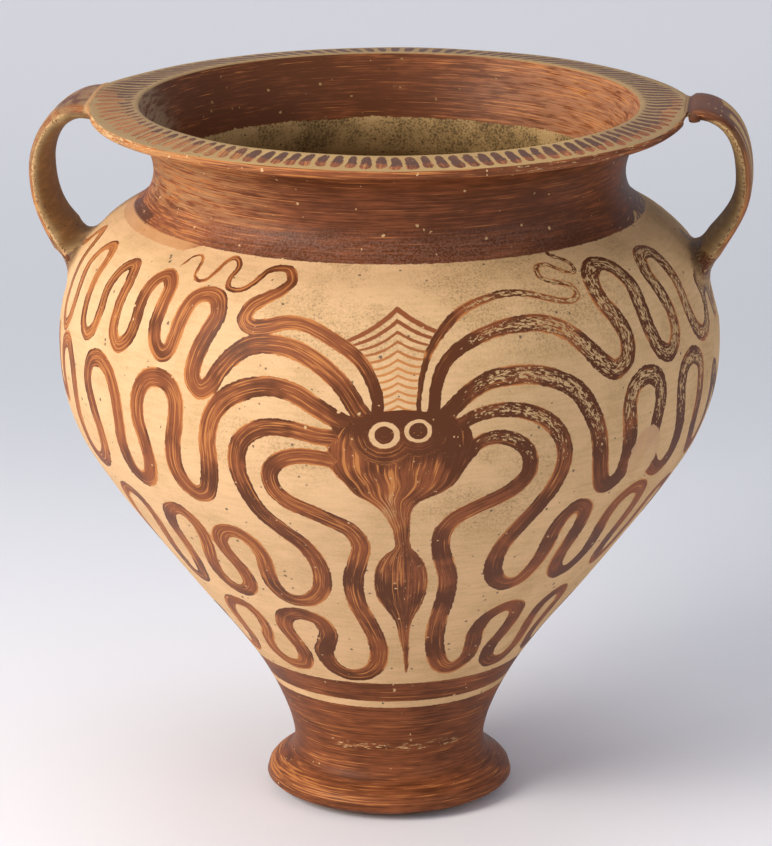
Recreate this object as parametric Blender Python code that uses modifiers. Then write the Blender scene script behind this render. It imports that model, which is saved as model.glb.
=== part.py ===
"""A footed clay mixing bowl with a wide flat rim and two strap handles, fired as one piece.

Metres, +Z up. The origin is the centre of the foot, on the surface that the bowl stands on.
The handles are on X, and the painted front faces -Y.
"""

import math

import bmesh
import bpy
from mathutils import Vector
from mathutils.geometry import interpolate_bezier

# Rim and mouth
HEIGHT = 0.3430  # of the mouth's edge, which is the rim's highest line
MOUTH_RADIUS = 0.1190
RIM_RADIUS = 0.1432
RIM_FALL = 0.0021  # how far the rim's top slopes down from mouth to lip
RIM_THICKNESS = 0.0040

# Turning points of the neck, bowl and stem
NECK_RADIUS = 0.1124
NECK_DROP = 0.0340  # from the mouth's edge down to the neck's narrowest line
NECK_HEIGHT = HEIGHT - NECK_DROP
BELLY_RADIUS = 0.1588
BELLY_HEIGHT = 0.2290
STEM_RADIUS = 0.0467
STEM_HEIGHT = 0.0240

# Foot
FOOT_RADIUS = 0.0603
FOOT_EDGE_HEIGHT = 0.0060  # where the foot is widest
RING_OUTER_RADIUS = 0.0480  # of the flat ring that it stands on
RING_WIDTH = 0.0090
HOLLOW_DEPTH = 0.0090  # of the turned hollow inside that ring

# Walls
WALL = 0.0060
FLOOR_HEIGHT = 0.0300  # of the bottom of the inside
FLOOR_CURVE = 0.0160  # height over which the floor turns up into the wall

# Strap handles
HANDLE_REACH = 0.1732  # from the bowl's axis to a strap's outer face
HANDLE_REACH_HEIGHT = NECK_HEIGHT  # it stands out furthest level with the neck
HANDLE_WIDTH = 0.0430
HANDLE_THICKNESS = 0.0092
HANDLE_GROOVE = 0.0012  # how far the outer face dips between its edges
HANDLE_RISE = math.radians(20)  # at which the strap leaves the rim
HANDLE_RIM_FLARE = 0.0110  # extra width where it meets the lip
HANDLE_RIM_THICKNESS = 0.0084
HANDLE_ROOT_DROP = 0.0600  # from the neck's line down to the strap's end in the shoulder
HANDLE_ROOT_WIDTH = 0.0600
HANDLE_ROOT_THICKNESS = 0.0260
HANDLE_ROOT_PITCH = math.radians(75)  # of the strap below level, where it ends
HANDLE_OVERLAP = 0.0100  # how deep the upper end is sunk in the rim
HANDLE_ROOT_DEPTH = 0.0125  # how deep the lower end's middle is sunk in the shoulder

# A strap's curve: how hard each end of its two halves pulls, as a share of that half's run
PULL_FROM_RIM = 0.64
PULL_OVER_TOP = 0.64
PULL_BELOW_TOP = 0.27
PULL_TO_ROOT = 0.25
FLARE_END = 0.3  # share of the upper half by which the flare at the rim is gone
SPREAD_START = 0.2  # share of the lower half from which the root spreads
STRAP_ROUNDING = 0.7  # 1 is an ellipse, less is a strap with fuller edges

# Facets
ROUNDING = 0.0001  # more than the error of a mesh's 32-bit numbers
TURN_STEPS = 48
LONGEST_FACET = 0.0140  # down the outside
LONGEST_INSIDE_FACET = 0.0400
STRAP_STEPS = 10  # along each half of a strap
STRAP_SIDES = 16

# Outlines between two turning points, as (share of the way out or in, share of the way down)
LIP_TO_NECK = ((0.18, 0.01), (0.47, 0.10), (0.775, 0.285), (0.94, 0.59))
NECK_TO_BELLY = ((0.078, 0.13), (0.19, 0.19), (0.50, 0.31), (0.75, 0.46), (0.90, 0.65), (0.97, 0.80))
BELLY_TO_STEM = (
    (0.012, 0.09), (0.074, 0.20), (0.205, 0.32), (0.384, 0.45),
    (0.566, 0.58), (0.740, 0.70), (0.866, 0.80), (0.950, 0.89), (0.988, 0.95),
)
STEM_TO_FOOT = ((0.10, 0.28), (0.35, 0.45), (0.68, 0.59), (0.92, 0.78))
FOOT_TO_RING = ((0.08, 0.40), (0.40, 0.80))
RING_TO_AXIS = ((0.08, 0.45), (0.40, 0.87))
MOUTH_TO_THROAT = ((0.30, 0.20), (0.70, 0.52))
FLOOR_TURNS = (72, 50, 25, 0)  # degrees round from the wall to the inside's lowest point

CLAY_COLOUR = (0.62, 0.44, 0.27, 1)
CLAY_ROUGHNESS = 0.6


def between(start, end, shares):
    """The points at these shares of the way from one (radius, height) to another."""
    return [
        (start[0] + (end[0] - start[0]) * out, start[1] + (end[1] - start[1]) * down)
        for out, down in shares
    ]


def smooth_line(knots, longest):
    """A smooth curve through the knots, in straight steps about this long at most."""
    knots = [Vector(knot) for knot in knots]
    runs = [end - start for start, end in zip(knots, knots[1:])]
    slopes = [runs[0].normalized()]
    for before, after in zip(runs, runs[1:]):
        lean = before.normalized() * after.length + after.normalized() * before.length
        slopes.append(lean / (before.length + after.length))
    slopes.append(runs[-1].normalized())
    line = [knots[0]]
    for i, run in enumerate(runs):
        reach = run.length / 3
        steps = max(1, round(run.length / longest))
        line += interpolate_bezier(
            knots[i], knots[i] + slopes[i] * reach,
            knots[i + 1] - slopes[i + 1] * reach, knots[i + 1], steps + 1,
        )[1:]
    return line


def outer_wall(longest):
    """The outside as (radius, height), from under the lip down to the foot's widest line."""
    lip = (RIM_RADIUS - RIM_THICKNESS / 3, HEIGHT - RIM_FALL - RIM_THICKNESS)
    neck = (NECK_RADIUS, NECK_HEIGHT)
    belly = (BELLY_RADIUS, BELLY_HEIGHT)
    stem = (STEM_RADIUS, STEM_HEIGHT)
    foot = (FOOT_RADIUS, FOOT_EDGE_HEIGHT)
    return smooth_line(
        [
            lip, *between(lip, neck, LIP_TO_NECK),
            neck, *between(neck, belly, NECK_TO_BELLY),
            belly, *between(belly, stem, BELLY_TO_STEM),
            stem, *between(stem, foot, STEM_TO_FOOT),
            foot,
        ],
        longest,
    )


def inner_wall():
    """The inside as (radius, height), from just under the mouth's edge down to the axis."""
    outer = outer_wall(LONGEST_INSIDE_FACET)
    wall = []
    for before, point, after in zip(outer, outer[1:], outer[2:]):
        along = (after - before).normalized()
        inward = Vector((along.y, -along.x))
        if point.y <= NECK_HEIGHT + ROUNDING:
            wall.append(point + inward * WALL)
    wall = [point for point in wall if point.y > FLOOR_HEIGHT + FLOOR_CURVE]
    edge = wall[-1]
    floor = [
        (edge.x * math.sin(turn), FLOOR_HEIGHT + (edge.y - FLOOR_HEIGHT) * (1 - math.cos(turn)))
        for turn in map(math.radians, FLOOR_TURNS)
    ]
    mouth = Vector((MOUTH_RADIUS - RIM_THICKNESS / 6, HEIGHT - RIM_THICKNESS / 3))
    throat = between(mouth, wall[0], MOUTH_TO_THROAT)
    return [mouth, *throat, *wall, *floor]


def outside():
    """The outline as (radius, height), across the rim's top and down to the foot's hollow."""
    lip_top = HEIGHT - RIM_FALL
    rim = [
        (0, HEIGHT),
        (MOUTH_RADIUS, HEIGHT),
        (RIM_RADIUS - RIM_THICKNESS / 4, lip_top),
        (RIM_RADIUS, lip_top - RIM_THICKNESS / 3),
        (RIM_RADIUS, lip_top - RIM_THICKNESS * 2 / 3),
    ]
    foot = (FOOT_RADIUS, FOOT_EDGE_HEIGHT)
    ring = (RING_OUTER_RADIUS, 0)
    ring_inside = (RING_OUTER_RADIUS - RING_WIDTH, 0)
    hollow = (0, HOLLOW_DEPTH)
    return [
        *rim, *outer_wall(LONGEST_FACET),
        *between(foot, ring, FOOT_TO_RING), ring,
        ring_inside, *between(ring_inside, hollow, RING_TO_AXIS), hollow,
    ]


def inside():
    """The hollow's outline, from above the open mouth down to its lowest point."""
    bevel = RIM_THICKNESS / 3
    above = (MOUTH_RADIUS + bevel, HEIGHT + bevel)
    return [(0, above[1]), above, *inner_wall()]


def turned(name, outline, collection, clay):
    """An outline of (radius, height) that runs down its outer side, turned about the axis."""
    mesh = bpy.data.meshes.new(name)
    points = [(point[0], 0, point[1]) for point in outline]
    mesh.from_pydata(points, [(i, i + 1) for i in range(len(points) - 1)], [])
    mesh.materials.append(clay)
    body = bpy.data.objects.new(name, mesh)
    collection.objects.link(body)
    screw = body.modifiers.new("turn", "SCREW")
    screw.steps = screw.render_steps = TURN_STEPS
    screw.use_merge_vertices = True
    screw.merge_threshold = ROUNDING
    screw.use_smooth_shade = True
    return body


def strap_halves():
    """The strap's middle line as (radius, height): from rim to its reach, and on to its root."""
    start = Vector((RIM_RADIUS - HANDLE_OVERLAP, HEIGHT - (RIM_FALL + RIM_THICKNESS) / 2))
    turn = Vector((HANDLE_REACH - HANDLE_THICKNESS / 2, HANDLE_REACH_HEIGHT))
    root_height = NECK_HEIGHT - HANDLE_ROOT_DROP
    above = [point for point in outer_wall(WALL) if point.y >= root_height]
    root = Vector((above[-1].x - HANDLE_ROOT_DEPTH, root_height))
    rising = Vector((math.cos(HANDLE_RISE), math.sin(HANDLE_RISE)))
    landing = Vector((math.cos(HANDLE_ROOT_PITCH), math.sin(HANDLE_ROOT_PITCH)))
    leave = rising * (turn.x - start.x) * PULL_FROM_RIM
    over = Vector((0, (start.y - turn.y) * PULL_OVER_TOP))
    fall = Vector((0, (turn.y - root.y) * PULL_BELOW_TOP))
    arrive = landing * (turn.y - root.y) * PULL_TO_ROOT
    upper = interpolate_bezier(start, start + leave, turn + over, turn, STRAP_STEPS + 1)
    lower = interpolate_bezier(turn, turn - fall, root + arrive, root, STRAP_STEPS + 1)
    return upper, lower


def strap_section(centre, along, width, thickness):
    """One cross-section of the strap at this point of its middle line."""
    outward = Vector((-along.y, along.x))
    ring = []
    for side in range(STRAP_SIDES):
        turn = 2 * math.pi * side / STRAP_SIDES
        lift = math.sin(turn)
        height = math.copysign(abs(lift) ** STRAP_ROUNDING, lift) * thickness / 2
        height -= HANDLE_GROOVE * max(0, lift) ** 3
        spot = centre + outward * height
        ring.append((spot.x, math.cos(turn) * width / 2, spot.y))
    return ring


def ease(share):
    """A share from 0 to 1 that starts and ends gently."""
    share = min(1, max(0, share))
    return share * share * (3 - 2 * share)


def blend(start, end, share):
    """The value this share of the way from start to end."""
    return start + (end - start) * share


def strap(name, side, collection):
    """A strap handle on +X or -X, as a closed loft between its cross-sections."""
    upper, lower = strap_halves()
    line = [*upper, *lower[1:]]
    last = len(line) - 1
    shape = bmesh.new()
    rings = []
    for i, centre in enumerate(line):
        along = (line[min(i + 1, last)] - line[max(i - 1, 0)]).normalized()
        settled = ease(i / STRAP_STEPS / FLARE_END)
        spread = ease((i / STRAP_STEPS - 1 - SPREAD_START) / (1 - SPREAD_START))
        width = blend(HANDLE_WIDTH + HANDLE_RIM_FLARE, HANDLE_WIDTH, settled)
        width = blend(width, HANDLE_ROOT_WIDTH, spread)
        thickness = blend(HANDLE_RIM_THICKNESS, HANDLE_THICKNESS, settled)
        thickness = blend(thickness, HANDLE_ROOT_THICKNESS, spread)
        section = strap_section(centre, along, width, thickness)
        rings.append([shape.verts.new((side * x, y, z)) for x, y, z in section])
    for ring, following in zip(rings, rings[1:]):
        for i in range(STRAP_SIDES):
            j = (i + 1) % STRAP_SIDES
            shape.faces.new((ring[i], ring[j], following[j], following[i]))
    shape.faces.new(rings[0])
    shape.faces.new(rings[-1])
    bmesh.ops.recalc_face_normals(shape, faces=shape.faces)
    mesh = bpy.data.meshes.new(name)
    shape.to_mesh(mesh)
    shape.free()
    mesh.shade_smooth()
    handle = bpy.data.objects.new(name, mesh)
    collection.objects.link(handle)
    return handle


def combine(body, shape, operation):
    """Joins a shape to the body or cuts it away, and hides the shape itself."""
    shape.hide_render = True
    shape.display_type = "WIRE"
    boolean = body.modifiers.new(shape.name, "BOOLEAN")
    boolean.operation = operation
    boolean.solver = "EXACT"
    boolean.object = shape


def clay_material():
    """Fired clay with its slip and paint taken together as one plain colour."""
    clay = bpy.data.materials.new("painted clay")
    clay.use_nodes = True
    shader = clay.node_tree.nodes["Principled BSDF"]
    shader.inputs["Base Color"].default_value = CLAY_COLOUR
    shader.inputs["Roughness"].default_value = CLAY_ROUGHNESS
    shader.inputs["Metallic"].default_value = 0
    return clay


def main():
    """Turns the bowl, lutes the straps on and then cuts the hollow through both."""
    for old in list(bpy.data.objects):
        bpy.data.objects.remove(old)
    pieces = bpy.data.collections.new("mycenaean_krater")
    shapes = bpy.data.collections.new("joined_and_cut_shapes")
    bpy.context.scene.collection.children.link(pieces)
    bpy.context.scene.collection.children.link(shapes)
    clay = clay_material()
    body = turned("krater", outside(), pieces, clay)
    for name, side in (("right_strap", 1), ("left_strap", -1)):
        combine(body, strap(name, side, shapes), "UNION")
    combine(body, turned("hollow", inside(), shapes, clay), "DIFFERENCE")


if __name__ == "__main__":
    main()
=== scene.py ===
"""The finished surface of a Mycenaean octopus krater, its floor, light and camera.

The vessel is turned, its strap handles are luted on, and the painter's brush strokes are laid on
the wall as point attributes, which the materials turn into slip, paint, streaks and wear.
Bearings are in degrees about the axis, from -Y towards +X. Paint is laid out in millimetres.
"""

import math
from types import SimpleNamespace

import bmesh
import bpy
import numpy as np
from mathutils import Matrix, Vector, kdtree, noise
from mathutils.bvhtree import BVHTree
from mathutils.geometry import interpolate_bezier


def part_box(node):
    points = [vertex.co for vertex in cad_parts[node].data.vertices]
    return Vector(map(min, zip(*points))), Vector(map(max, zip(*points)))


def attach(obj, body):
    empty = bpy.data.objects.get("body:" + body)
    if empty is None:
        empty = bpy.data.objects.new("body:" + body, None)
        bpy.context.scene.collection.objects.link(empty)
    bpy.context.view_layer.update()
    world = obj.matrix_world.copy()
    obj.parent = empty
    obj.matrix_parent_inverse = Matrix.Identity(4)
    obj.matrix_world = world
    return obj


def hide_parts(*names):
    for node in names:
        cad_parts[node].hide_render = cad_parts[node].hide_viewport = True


bl_info = {
    "name": "Octopus Krater",
    "version": (1, 0, 0),
    "blender": (4, 5, 0),
    "location": "3D View > Sidebar > Krater",
    "description": "Turns a footed clay krater, paints an octopus on it and sets up its studio",
    "category": "Mesh",
}

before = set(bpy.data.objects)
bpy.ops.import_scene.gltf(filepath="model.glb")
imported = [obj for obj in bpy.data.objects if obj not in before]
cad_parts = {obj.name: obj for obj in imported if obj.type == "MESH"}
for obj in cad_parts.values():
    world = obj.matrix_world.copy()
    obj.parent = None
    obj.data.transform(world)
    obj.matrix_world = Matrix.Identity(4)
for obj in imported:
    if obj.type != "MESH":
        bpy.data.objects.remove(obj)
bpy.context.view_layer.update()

MM = 0.001
NODE = "krater"
BODY = "root"
PIECE = "painted_krater"

# Outlines between two turning points, as (share of the way out or in, share of the way down)
LIP_TO_NECK = ((0.18, 0.01), (0.47, 0.10), (0.775, 0.285), (0.94, 0.59))
NECK_TO_BELLY = (
    (0.078, 0.13), (0.19, 0.19), (0.50, 0.31), (0.75, 0.46), (0.90, 0.65), (0.97, 0.80),
)
BELLY_TO_STEM = (
    (0.012, 0.09), (0.074, 0.20), (0.205, 0.32), (0.384, 0.45),
    (0.566, 0.58), (0.740, 0.70), (0.866, 0.80), (0.950, 0.89), (0.988, 0.95),
)
STEM_TO_FOOT = ((0.10, 0.28), (0.35, 0.45), (0.68, 0.59), (0.92, 0.78))
FOOT_TO_RING = ((0.10, 0.22), (0.42, 0.58))
RING_TO_AXIS = ((0.08, 0.45), (0.40, 0.87))
MOUTH_TO_THROAT = ((0.30, 0.20), (0.70, 0.52))

# Brush strokes of the octopus as (bearing, height in mm), from the head out to the tip,
# with the stroke's width in mm at even steps along it
LEFT_ARMS = (
    (
        (3.9, 232), (4.1, 239), (3.6, 245), (2.9, 250), (1.8, 255), (-0.1, 260), (-3, 264.7),
        (-6, 268.6), (-9, 271.2), (-12.2, 271.4), (-16, 268.9), (-18.6, 268.4), (-20.1, 271),
        (-19.6, 275.5), (-17, 280), (-14.5, 283.3), (-13.3, 286.6), (-14.3, 289.4), (-17, 290.3),
        (-19.4, 288.6), (-20.6, 285.3), (-22.2, 282.3), (-24.4, 281.2), (-26.1, 282.6),
        (-26.3, 285.5), (-25.9, 288.5), (-27, 291), (-28.6, 291.7), (-29.8, 290), (-30.3, 286.7),
        (-31.2, 283.6), (-33, 282.3), (-34.6, 284), (-35.1, 287.3), (-36.1, 289.9), (-37.6, 290.5),
        (-38.9, 289), (-39.3, 286.7),
    ),
    (
        (2.6, 230), (0.8, 236), (-0.3, 241), (-1.9, 247), (-4, 252), (-6.4, 256.3), (-10.1, 260.6),
        (-14, 262), (-18.2, 260.4), (-21.1, 255.2), (-23.3, 248), (-24.9, 241), (-26.9, 238.2),
        (-28.2, 241.8), (-28.1, 252.5), (-26.7, 263), (-25.5, 272), (-26.5, 276.8), (-29, 278.5),
        (-31.6, 276), (-32.8, 268), (-33.5, 258), (-34.2, 252.5), (-35.6, 250.6), (-37.2, 253.5),
        (-38.3, 261), (-38.1, 271), (-38.4, 278), (-40.8, 281.8), (-43, 279), (-43.7, 270.5),
        (-43.5, 261), (-44.7, 252), (-46.9, 248.7), (-48.8, 253), (-49.5, 265), (-49.8, 276),
        (-51.9, 281.6), (-54.1, 279.4), (-55.1, 270.6), (-54.8, 259.5), (-55.8, 250.4),
        (-57.9, 247.2), (-60, 251), (-61.1, 260), (-61.4, 271), (-62.2, 279.7), (-64.7, 283.3),
        (-67.6, 280.8), (-68.4, 275.5), (-67.4, 266), (-67, 255), (-68.1, 246.6), (-70.4, 243.6),
        (-72.5, 249), (-73.6, 260), (-74.2, 271), (-75.8, 280), (-79, 283.5), (-83, 275),
    ),
    (
        (0.6, 227), (-3.2, 231.8), (-6.1, 236.5), (-9.7, 242), (-13.6, 244), (-18.3, 241.4),
        (-21.9, 235.7), (-24.3, 227.5), (-25.4, 216.5), (-25.6, 204.5), (-26.6, 193), (-28, 187),
        (-29.7, 185.2), (-31.6, 187.6), (-33.2, 196), (-33, 208), (-31.8, 222), (-31.9, 232.5),
        (-33.2, 237.8), (-35.1, 239.5), (-38.2, 238), (-40.4, 230), (-40.8, 219), (-39.7, 206),
        (-39.9, 194), (-41.4, 187.6), (-43.4, 185.6), (-45.4, 188.6), (-46.5, 199), (-46.2, 213),
        (-46.8, 226), (-48.8, 235.5), (-51.9, 239.3), (-54.9, 237), (-56.1, 228), (-54.7, 215),
        (-53.6, 203), (-54.8, 191.5), (-57, 186.2), (-59.5, 185.2), (-61.8, 189), (-62.8, 200),
        (-62.7, 215), (-63.6, 229.5), (-66.5, 238.5), (-69.6, 235), (-70.6, 224), (-69.6, 210),
    ),
    (
        (1, 220), (-2.6, 222), (-6.1, 223), (-10.4, 225.4), (-15.2, 224.6), (-18.9, 217.5),
        (-20.2, 206), (-19.4, 193.5), (-17.1, 180), (-13.6, 171), (-10.6, 163.5), (-9, 155),
        (-8.7, 145.5), (-9.8, 136.5), (-12.6, 129.6), (-16.9, 126.6), (-20.3, 128.3), (-22.1, 134),
        (-21.9, 143), (-21, 153), (-21.9, 161), (-24.7, 166), (-28.2, 164.7), (-30.2, 158.5),
        (-30.1, 150), (-28.9, 141), (-29.3, 132.5), (-32.7, 126.9), (-36.7, 128.7), (-38.4, 135),
        (-37.2, 144.5), (-34.9, 154.5), (-34.3, 164.5), (-36.9, 172.6), (-40.6, 170), (-42.8, 161),
        (-43.5, 149), (-45.2, 136.5), (-48.6, 126.5), (-52.6, 128.3), (-53, 137), (-51.1, 148.5),
        (-49.2, 162), (-50.4, 170.6), (-53.3, 173.5), (-56.8, 169.7), (-59.5, 159), (-62.8, 144.5),
        (-67.6, 134.6), (-71.4, 133.8), (-72.6, 141), (-70.6, 153),
    ),
    (
        (1, 211.5), (-2.6, 211.2), (-5.4, 212.4), (-9, 212.7), (-12.4, 209.7), (-14.3, 203),
        (-13.9, 194.5), (-11.9, 189), (-8.4, 184.7), (-4.7, 180), (-1, 174), (0.5, 166),
        (-0.3, 156), (-1.8, 145), (-2.2, 136), (-1.5, 125.5), (0.3, 115.5), (2, 105.5), (2.7, 96),
        (1.7, 87.5), (-1.8, 81.4), (-6.9, 79.3), (-11.8, 80.2), (-15.6, 85), (-16.4, 91.5),
        (-14, 99.5), (-12.1, 107), (-12.9, 113.4), (-16.1, 117), (-20.4, 117.2), (-24.2, 113.6),
        (-26, 106.5), (-25.4, 98.5), (-24.6, 90), (-26.9, 83), (-31.1, 80.8), (-36.7, 82.2),
        (-39.4, 87), (-38.2, 94), (-35, 101.5), (-34.1, 108.5), (-35.5, 114.6), (-39, 117),
        (-43.1, 115.7), (-46, 110), (-48, 100), (-49.5, 91), (-53.3, 84), (-58.5, 81.8),
        (-63, 84.5), (-63.4, 93), (-60, 103),
    ),
)
LEFT_WIDTHS = (
    (5.4, 6.0, 6.6, 6.8, 7.4, 7.6, 5.6, 3.4, 2.8, 2.6, 1.8, 1.3),
    (8.2, 9.0, 9.2, 8.8, 8.2, 8.0, 7.4, 6.6, 6.2, 6.0, 5.8, 5.6),
    (8.6, 9.6, 9.6, 9.4, 9.0, 8.6, 8.4, 8.2, 8.0),
    (7.8, 9.0, 9.2, 9.0, 8.6, 8.0, 7.4, 7.0, 6.6),
    (7.4, 8.6, 9.4, 9.0, 9.4, 9.6, 8.2, 7.0, 6.8, 6.6),
)
RIGHT_ARMS = (
    (
        (10.7, 231), (10.75, 238), (10.9, 244), (11.3, 250), (11.8, 255), (12.5, 260),
        (13.7, 265), (15.3, 270), (17.5, 274.7), (20.2, 278), (24, 280.6), (28, 281.7),
        (32, 281), (36, 278.4), (39, 276.4), (41.4, 276.3), (42.7, 278.6), (42.1, 281.5),
        (40.3, 282.9), (38, 284.4), (36.6, 286.5), (37, 288.7), (38.7, 289.8), (40.5, 289.2),
        (42, 287.2), (43.6, 285.8), (45.2, 286.1), (45.6, 287.9), (44.8, 290), (43.3, 291.4),
        (42.2, 292.6), (42.2, 294.5),
    ),
    (
        (12.6, 230), (13.3, 238), (13.5, 244), (14.1, 250), (15, 255), (16.8, 260), (20, 264.8),
        (23.6, 268), (28.4, 269.7), (32.9, 269.3), (36.4, 266.3), (39.2, 261.5), (41.5, 255.5),
        (43.9, 248.4), (46.6, 244), (49.2, 247), (50.3, 256), (48.8, 266.3), (46.9, 275),
        (47.4, 281.8), (51.2, 286.7), (54.5, 284.4), (56, 278.5), (55.9, 268.5), (56.5, 256.8),
        (58.4, 247), (60.7, 244.2), (63.3, 249), (64.2, 260), (63.2, 270), (62.7, 278.5),
        (64.3, 283.7), (67.3, 285.4), (69.9, 283.2), (70.3, 276), (70.1, 266.5), (70.5, 256.5),
        (72.2, 248), (75, 244.5), (77.7, 247), (79.5, 253), (80.2, 259), (79.6, 266),
    ),
    (
        (14, 229), (16.1, 235.5), (18.6, 241.8), (21.8, 246.8), (26.4, 248.6), (30.7, 247.8),
        (35, 243.9), (38.5, 237.8), (41, 228), (42.9, 217), (43.9, 206), (44.9, 195.5),
        (46.2, 188.8), (48, 186.8), (50, 190), (50.8, 200.5), (50.3, 213), (49.8, 225.5),
        (50.9, 233.8), (53.6, 237.6), (56.7, 235), (57.9, 226), (57.3, 214.5), (57, 203),
        (58.4, 193), (60.5, 187.8), (63, 186.2), (65.2, 191.5), (65.7, 203.5), (64.8, 216.5),
        (64.6, 228), (66.1, 235.5), (69.2, 237.8), (71.9, 233.5), (72.6, 221), (72.2, 208),
        (73, 196), (75, 188.6), (77, 187.6), (79.6, 194), (80.6, 210), (81, 224),
    ),
    (
        (14, 224), (17.1, 228), (20, 231.8), (24.3, 233.8), (28.6, 231.9), (32.9, 225.7),
        (35.7, 215.5), (36.4, 204.5), (35.3, 193.5), (32.9, 182), (30.1, 170), (28.5, 160.5),
        (28.2, 152.5), (29.2, 144.2), (31.6, 138), (34.8, 135.3), (37.7, 137.5), (39.2, 144.5),
        (39.6, 153.5), (39.3, 163), (39.8, 172), (42.1, 178.6), (44.7, 175.5), (45.6, 167.5),
        (45.4, 156), (45.7, 146), (47.2, 138.6), (50.2, 135), (53.2, 137.5), (54.7, 144.5),
        (54.1, 153.5), (53.1, 163.5), (53.6, 173), (56.9, 179.3), (60.3, 177), (61.7, 168),
        (61.5, 156), (61.8, 146), (63.2, 137.8), (65.6, 134.2), (67.9, 138.8), (68.7, 150),
        (68.8, 161.5), (69.9, 169), (72.6, 172.6), (75.6, 168), (76.6, 156),
    ),
    (
        (15, 211), (18.9, 214), (20.7, 219.2), (23.6, 221.3), (27.1, 218.5), (29.5, 211.5),
        (29.9, 202.8), (28.2, 196), (25, 190.7), (20.8, 185.7), (17.4, 180), (15.8, 172.5),
        (15.9, 163.5), (17.1, 154.5), (18.6, 145.5), (19.4, 135.5), (19.3, 125.5), (19, 115.5),
        (19.4, 105.5), (20.9, 95.5), (23.9, 86.4), (27.9, 82.4), (31.9, 83.9), (34.3, 89.2),
        (33.6, 97), (32.3, 105.5), (32.9, 112.2), (35.6, 117.5), (39.3, 119.6), (42.7, 116.8),
        (43.8, 110), (43.4, 100.5), (42.3, 93), (43.1, 86.3), (46.4, 81.8), (50.7, 80.8),
        (54.6, 82.4), (56.6, 87.8), (55, 97), (53, 106.5), (53.1, 113.7), (55.5, 119.2),
        (58.5, 120.2), (60.9, 115.3), (61.5, 105.5), (62.6, 95.8), (64.6, 89), (68.6, 83),
        (73, 82.4), (76.6, 87), (76, 97), (74, 108),
    ),
)
RIGHT_WIDTHS = (
    (2.2, 2.4, 3.2, 4.4, 5.0, 4.4, 4.0, 3.8, 3.4, 3.2, 2.8, 2.4, 2.2, 2.2),
    (5.0, 6.4, 8.8, 9.4, 9.4, 9.2, 8.8, 8.4, 8.2, 8.0),
    (7.6, 9.4, 9.8, 9.4, 9.0, 8.8, 8.4, 8.0),
    (5.4, 8.2, 9.4, 9.4, 9.2, 9.0, 8.6, 8.2, 8.0),
    (5.4, 8.4, 9.2, 9.4, 9.0, 8.8, 8.4, 7.6, 7.2, 7.0),
)

# The back is plainer. Each arm's waves run on round it as
# (low, high, wave length in degrees, last bearing, width of the stroke)
BACK_WAVES = (
    None,
    (247, 280, 14.5, 166, 6.6),
    (187, 237, 15.5, 160, 7.6),
    (131, 173, 15.5, 166, 6.8),
    (83, 116, 19.0, 158, 6.4),
)

# The octopus's head, body and tail as (height in mm, left bearing, right bearing)
FIGURE_ROWS = (
    (234.4, 1.6, 14.6), (232.6, 0.2, 15.8), (229.5, -1.6, 17.6), (225, -3.2, 19.4),
    (220, -4.0, 19.6), (215, -4.0, 19.6), (210, -3.9, 19.1), (205, -3.1, 18.1), (200, -1.4, 17.0),
    (195, 0.0, 14.5), (190, 2.9, 10.8), (185, 4.7, 9.8), (180, 5.7, 9.7), (175, 6.5, 9.7),
    (170, 6.8, 9.8), (165, 7.0, 10.1), (160, 5.1, 11.6), (155, 3.7, 12.9), (150, 3.0, 13.8),
    (145, 2.7, 14.3), (140, 2.6, 14.5), (135, 2.8, 14.5), (130, 3.5, 14.1), (125, 5.0, 13.5),
    (120, 6.6, 12.5), (115, 7.8, 11.8), (110, 8.3, 11.7), (105, 8.9, 11.8), (100, 9.7, 12.0),
    (95, 10.4, 12.2), (90, 10.8, 12.4), (85, 11.4, 12.8), (81.5, 11.9, 12.5),
)
# Its eyes as (bearing, height, ring radii, pupil radii)
EYES = ((5.15, 224.2, 6.9, 6.3, 4.3, 4.1), (10.65, 226.0, 6.1, 5.4, 4.1, 3.9))
# The chevrons above its head: where each begins, and how they fall to either side
FAN_MIDDLE = 7.4
FAN_APEXES = (
    278.0, 273.6, 269.3, 265.5, 261.5, 257.8, 254.4, 251.2, 247.9, 244.5, 241.1, 237.7, 234.4,
)
FAN_FALLS = ((1.95, 0.05), (1.7, 0.05))
FAN_FLATTER = 0.035
FAN_EDGES = (
    (236, 4.9, 10.1), (242, 4.8, 10.2), (246, 4.6, 10.3), (250, 4.0, 10.5), (254, 3.2, 10.9),
    (257, 2.6, 11.3), (260, 1.6, 12.0), (263, 0.3, 12.6), (266, -1.4, 13.4), (270, -3.0, 14.4),
)

# Millimetres for a degree of bearing, in the plan of the strokes and on the wall itself
PLAN_MM_PER_DEGREE = 2.7
WALL_MM_PER_DEGREE = 2.72

# Painted bands, as heights in mm
NECK_BAND_LOW = 293.4
BASE_BAND = (62.3, 74.0)
FOOT_PAINT_TOP = 58.4
INSIDE_BAND_LOW = 312.5
# The plaster repair: its place on the wall and its radii
REPAIR = ((55.6, 198.5), (11.0, 14.0))
TONGUES = 122
# How fast streaks change along x, y and z where paint was laid on the turning wheel
WHEEL_BRUSH = (700.0, 35.0, 1350.0)
INSIDE_BRUSH = (700.0, 35.0, 1500.0)

SOOT = (0.2, 0.115, 0.06)
# Colour of a strap's inner face: partly its duller clay, partly painted shade where the strap
# faces the wall.
STRAP_INNER_DULL_AND_SHADE = (0.17, 0.115, 0.066)
TONGUE_DARK = (0.105, 0.05, 0.033)
RIM_FILM = (0.165, 0.118, 0.088)
BAND_DUST = (0.46, 0.235, 0.125)
BAND_WORN = (0.27, 0.18, 0.1)
BAND_FILM = (0.34, 0.2, 0.155)
BAND_DULL = (0.4, 0.235, 0.105)
INSIDE_STAIN = (0.14, 0.078, 0.024)
INSIDE_BLOTS = (0.055, 0.032, 0.014)


def length_property(name, description, default):
    return bpy.props.FloatProperty(
        name=name, description=description, default=default, unit="LENGTH")


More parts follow.
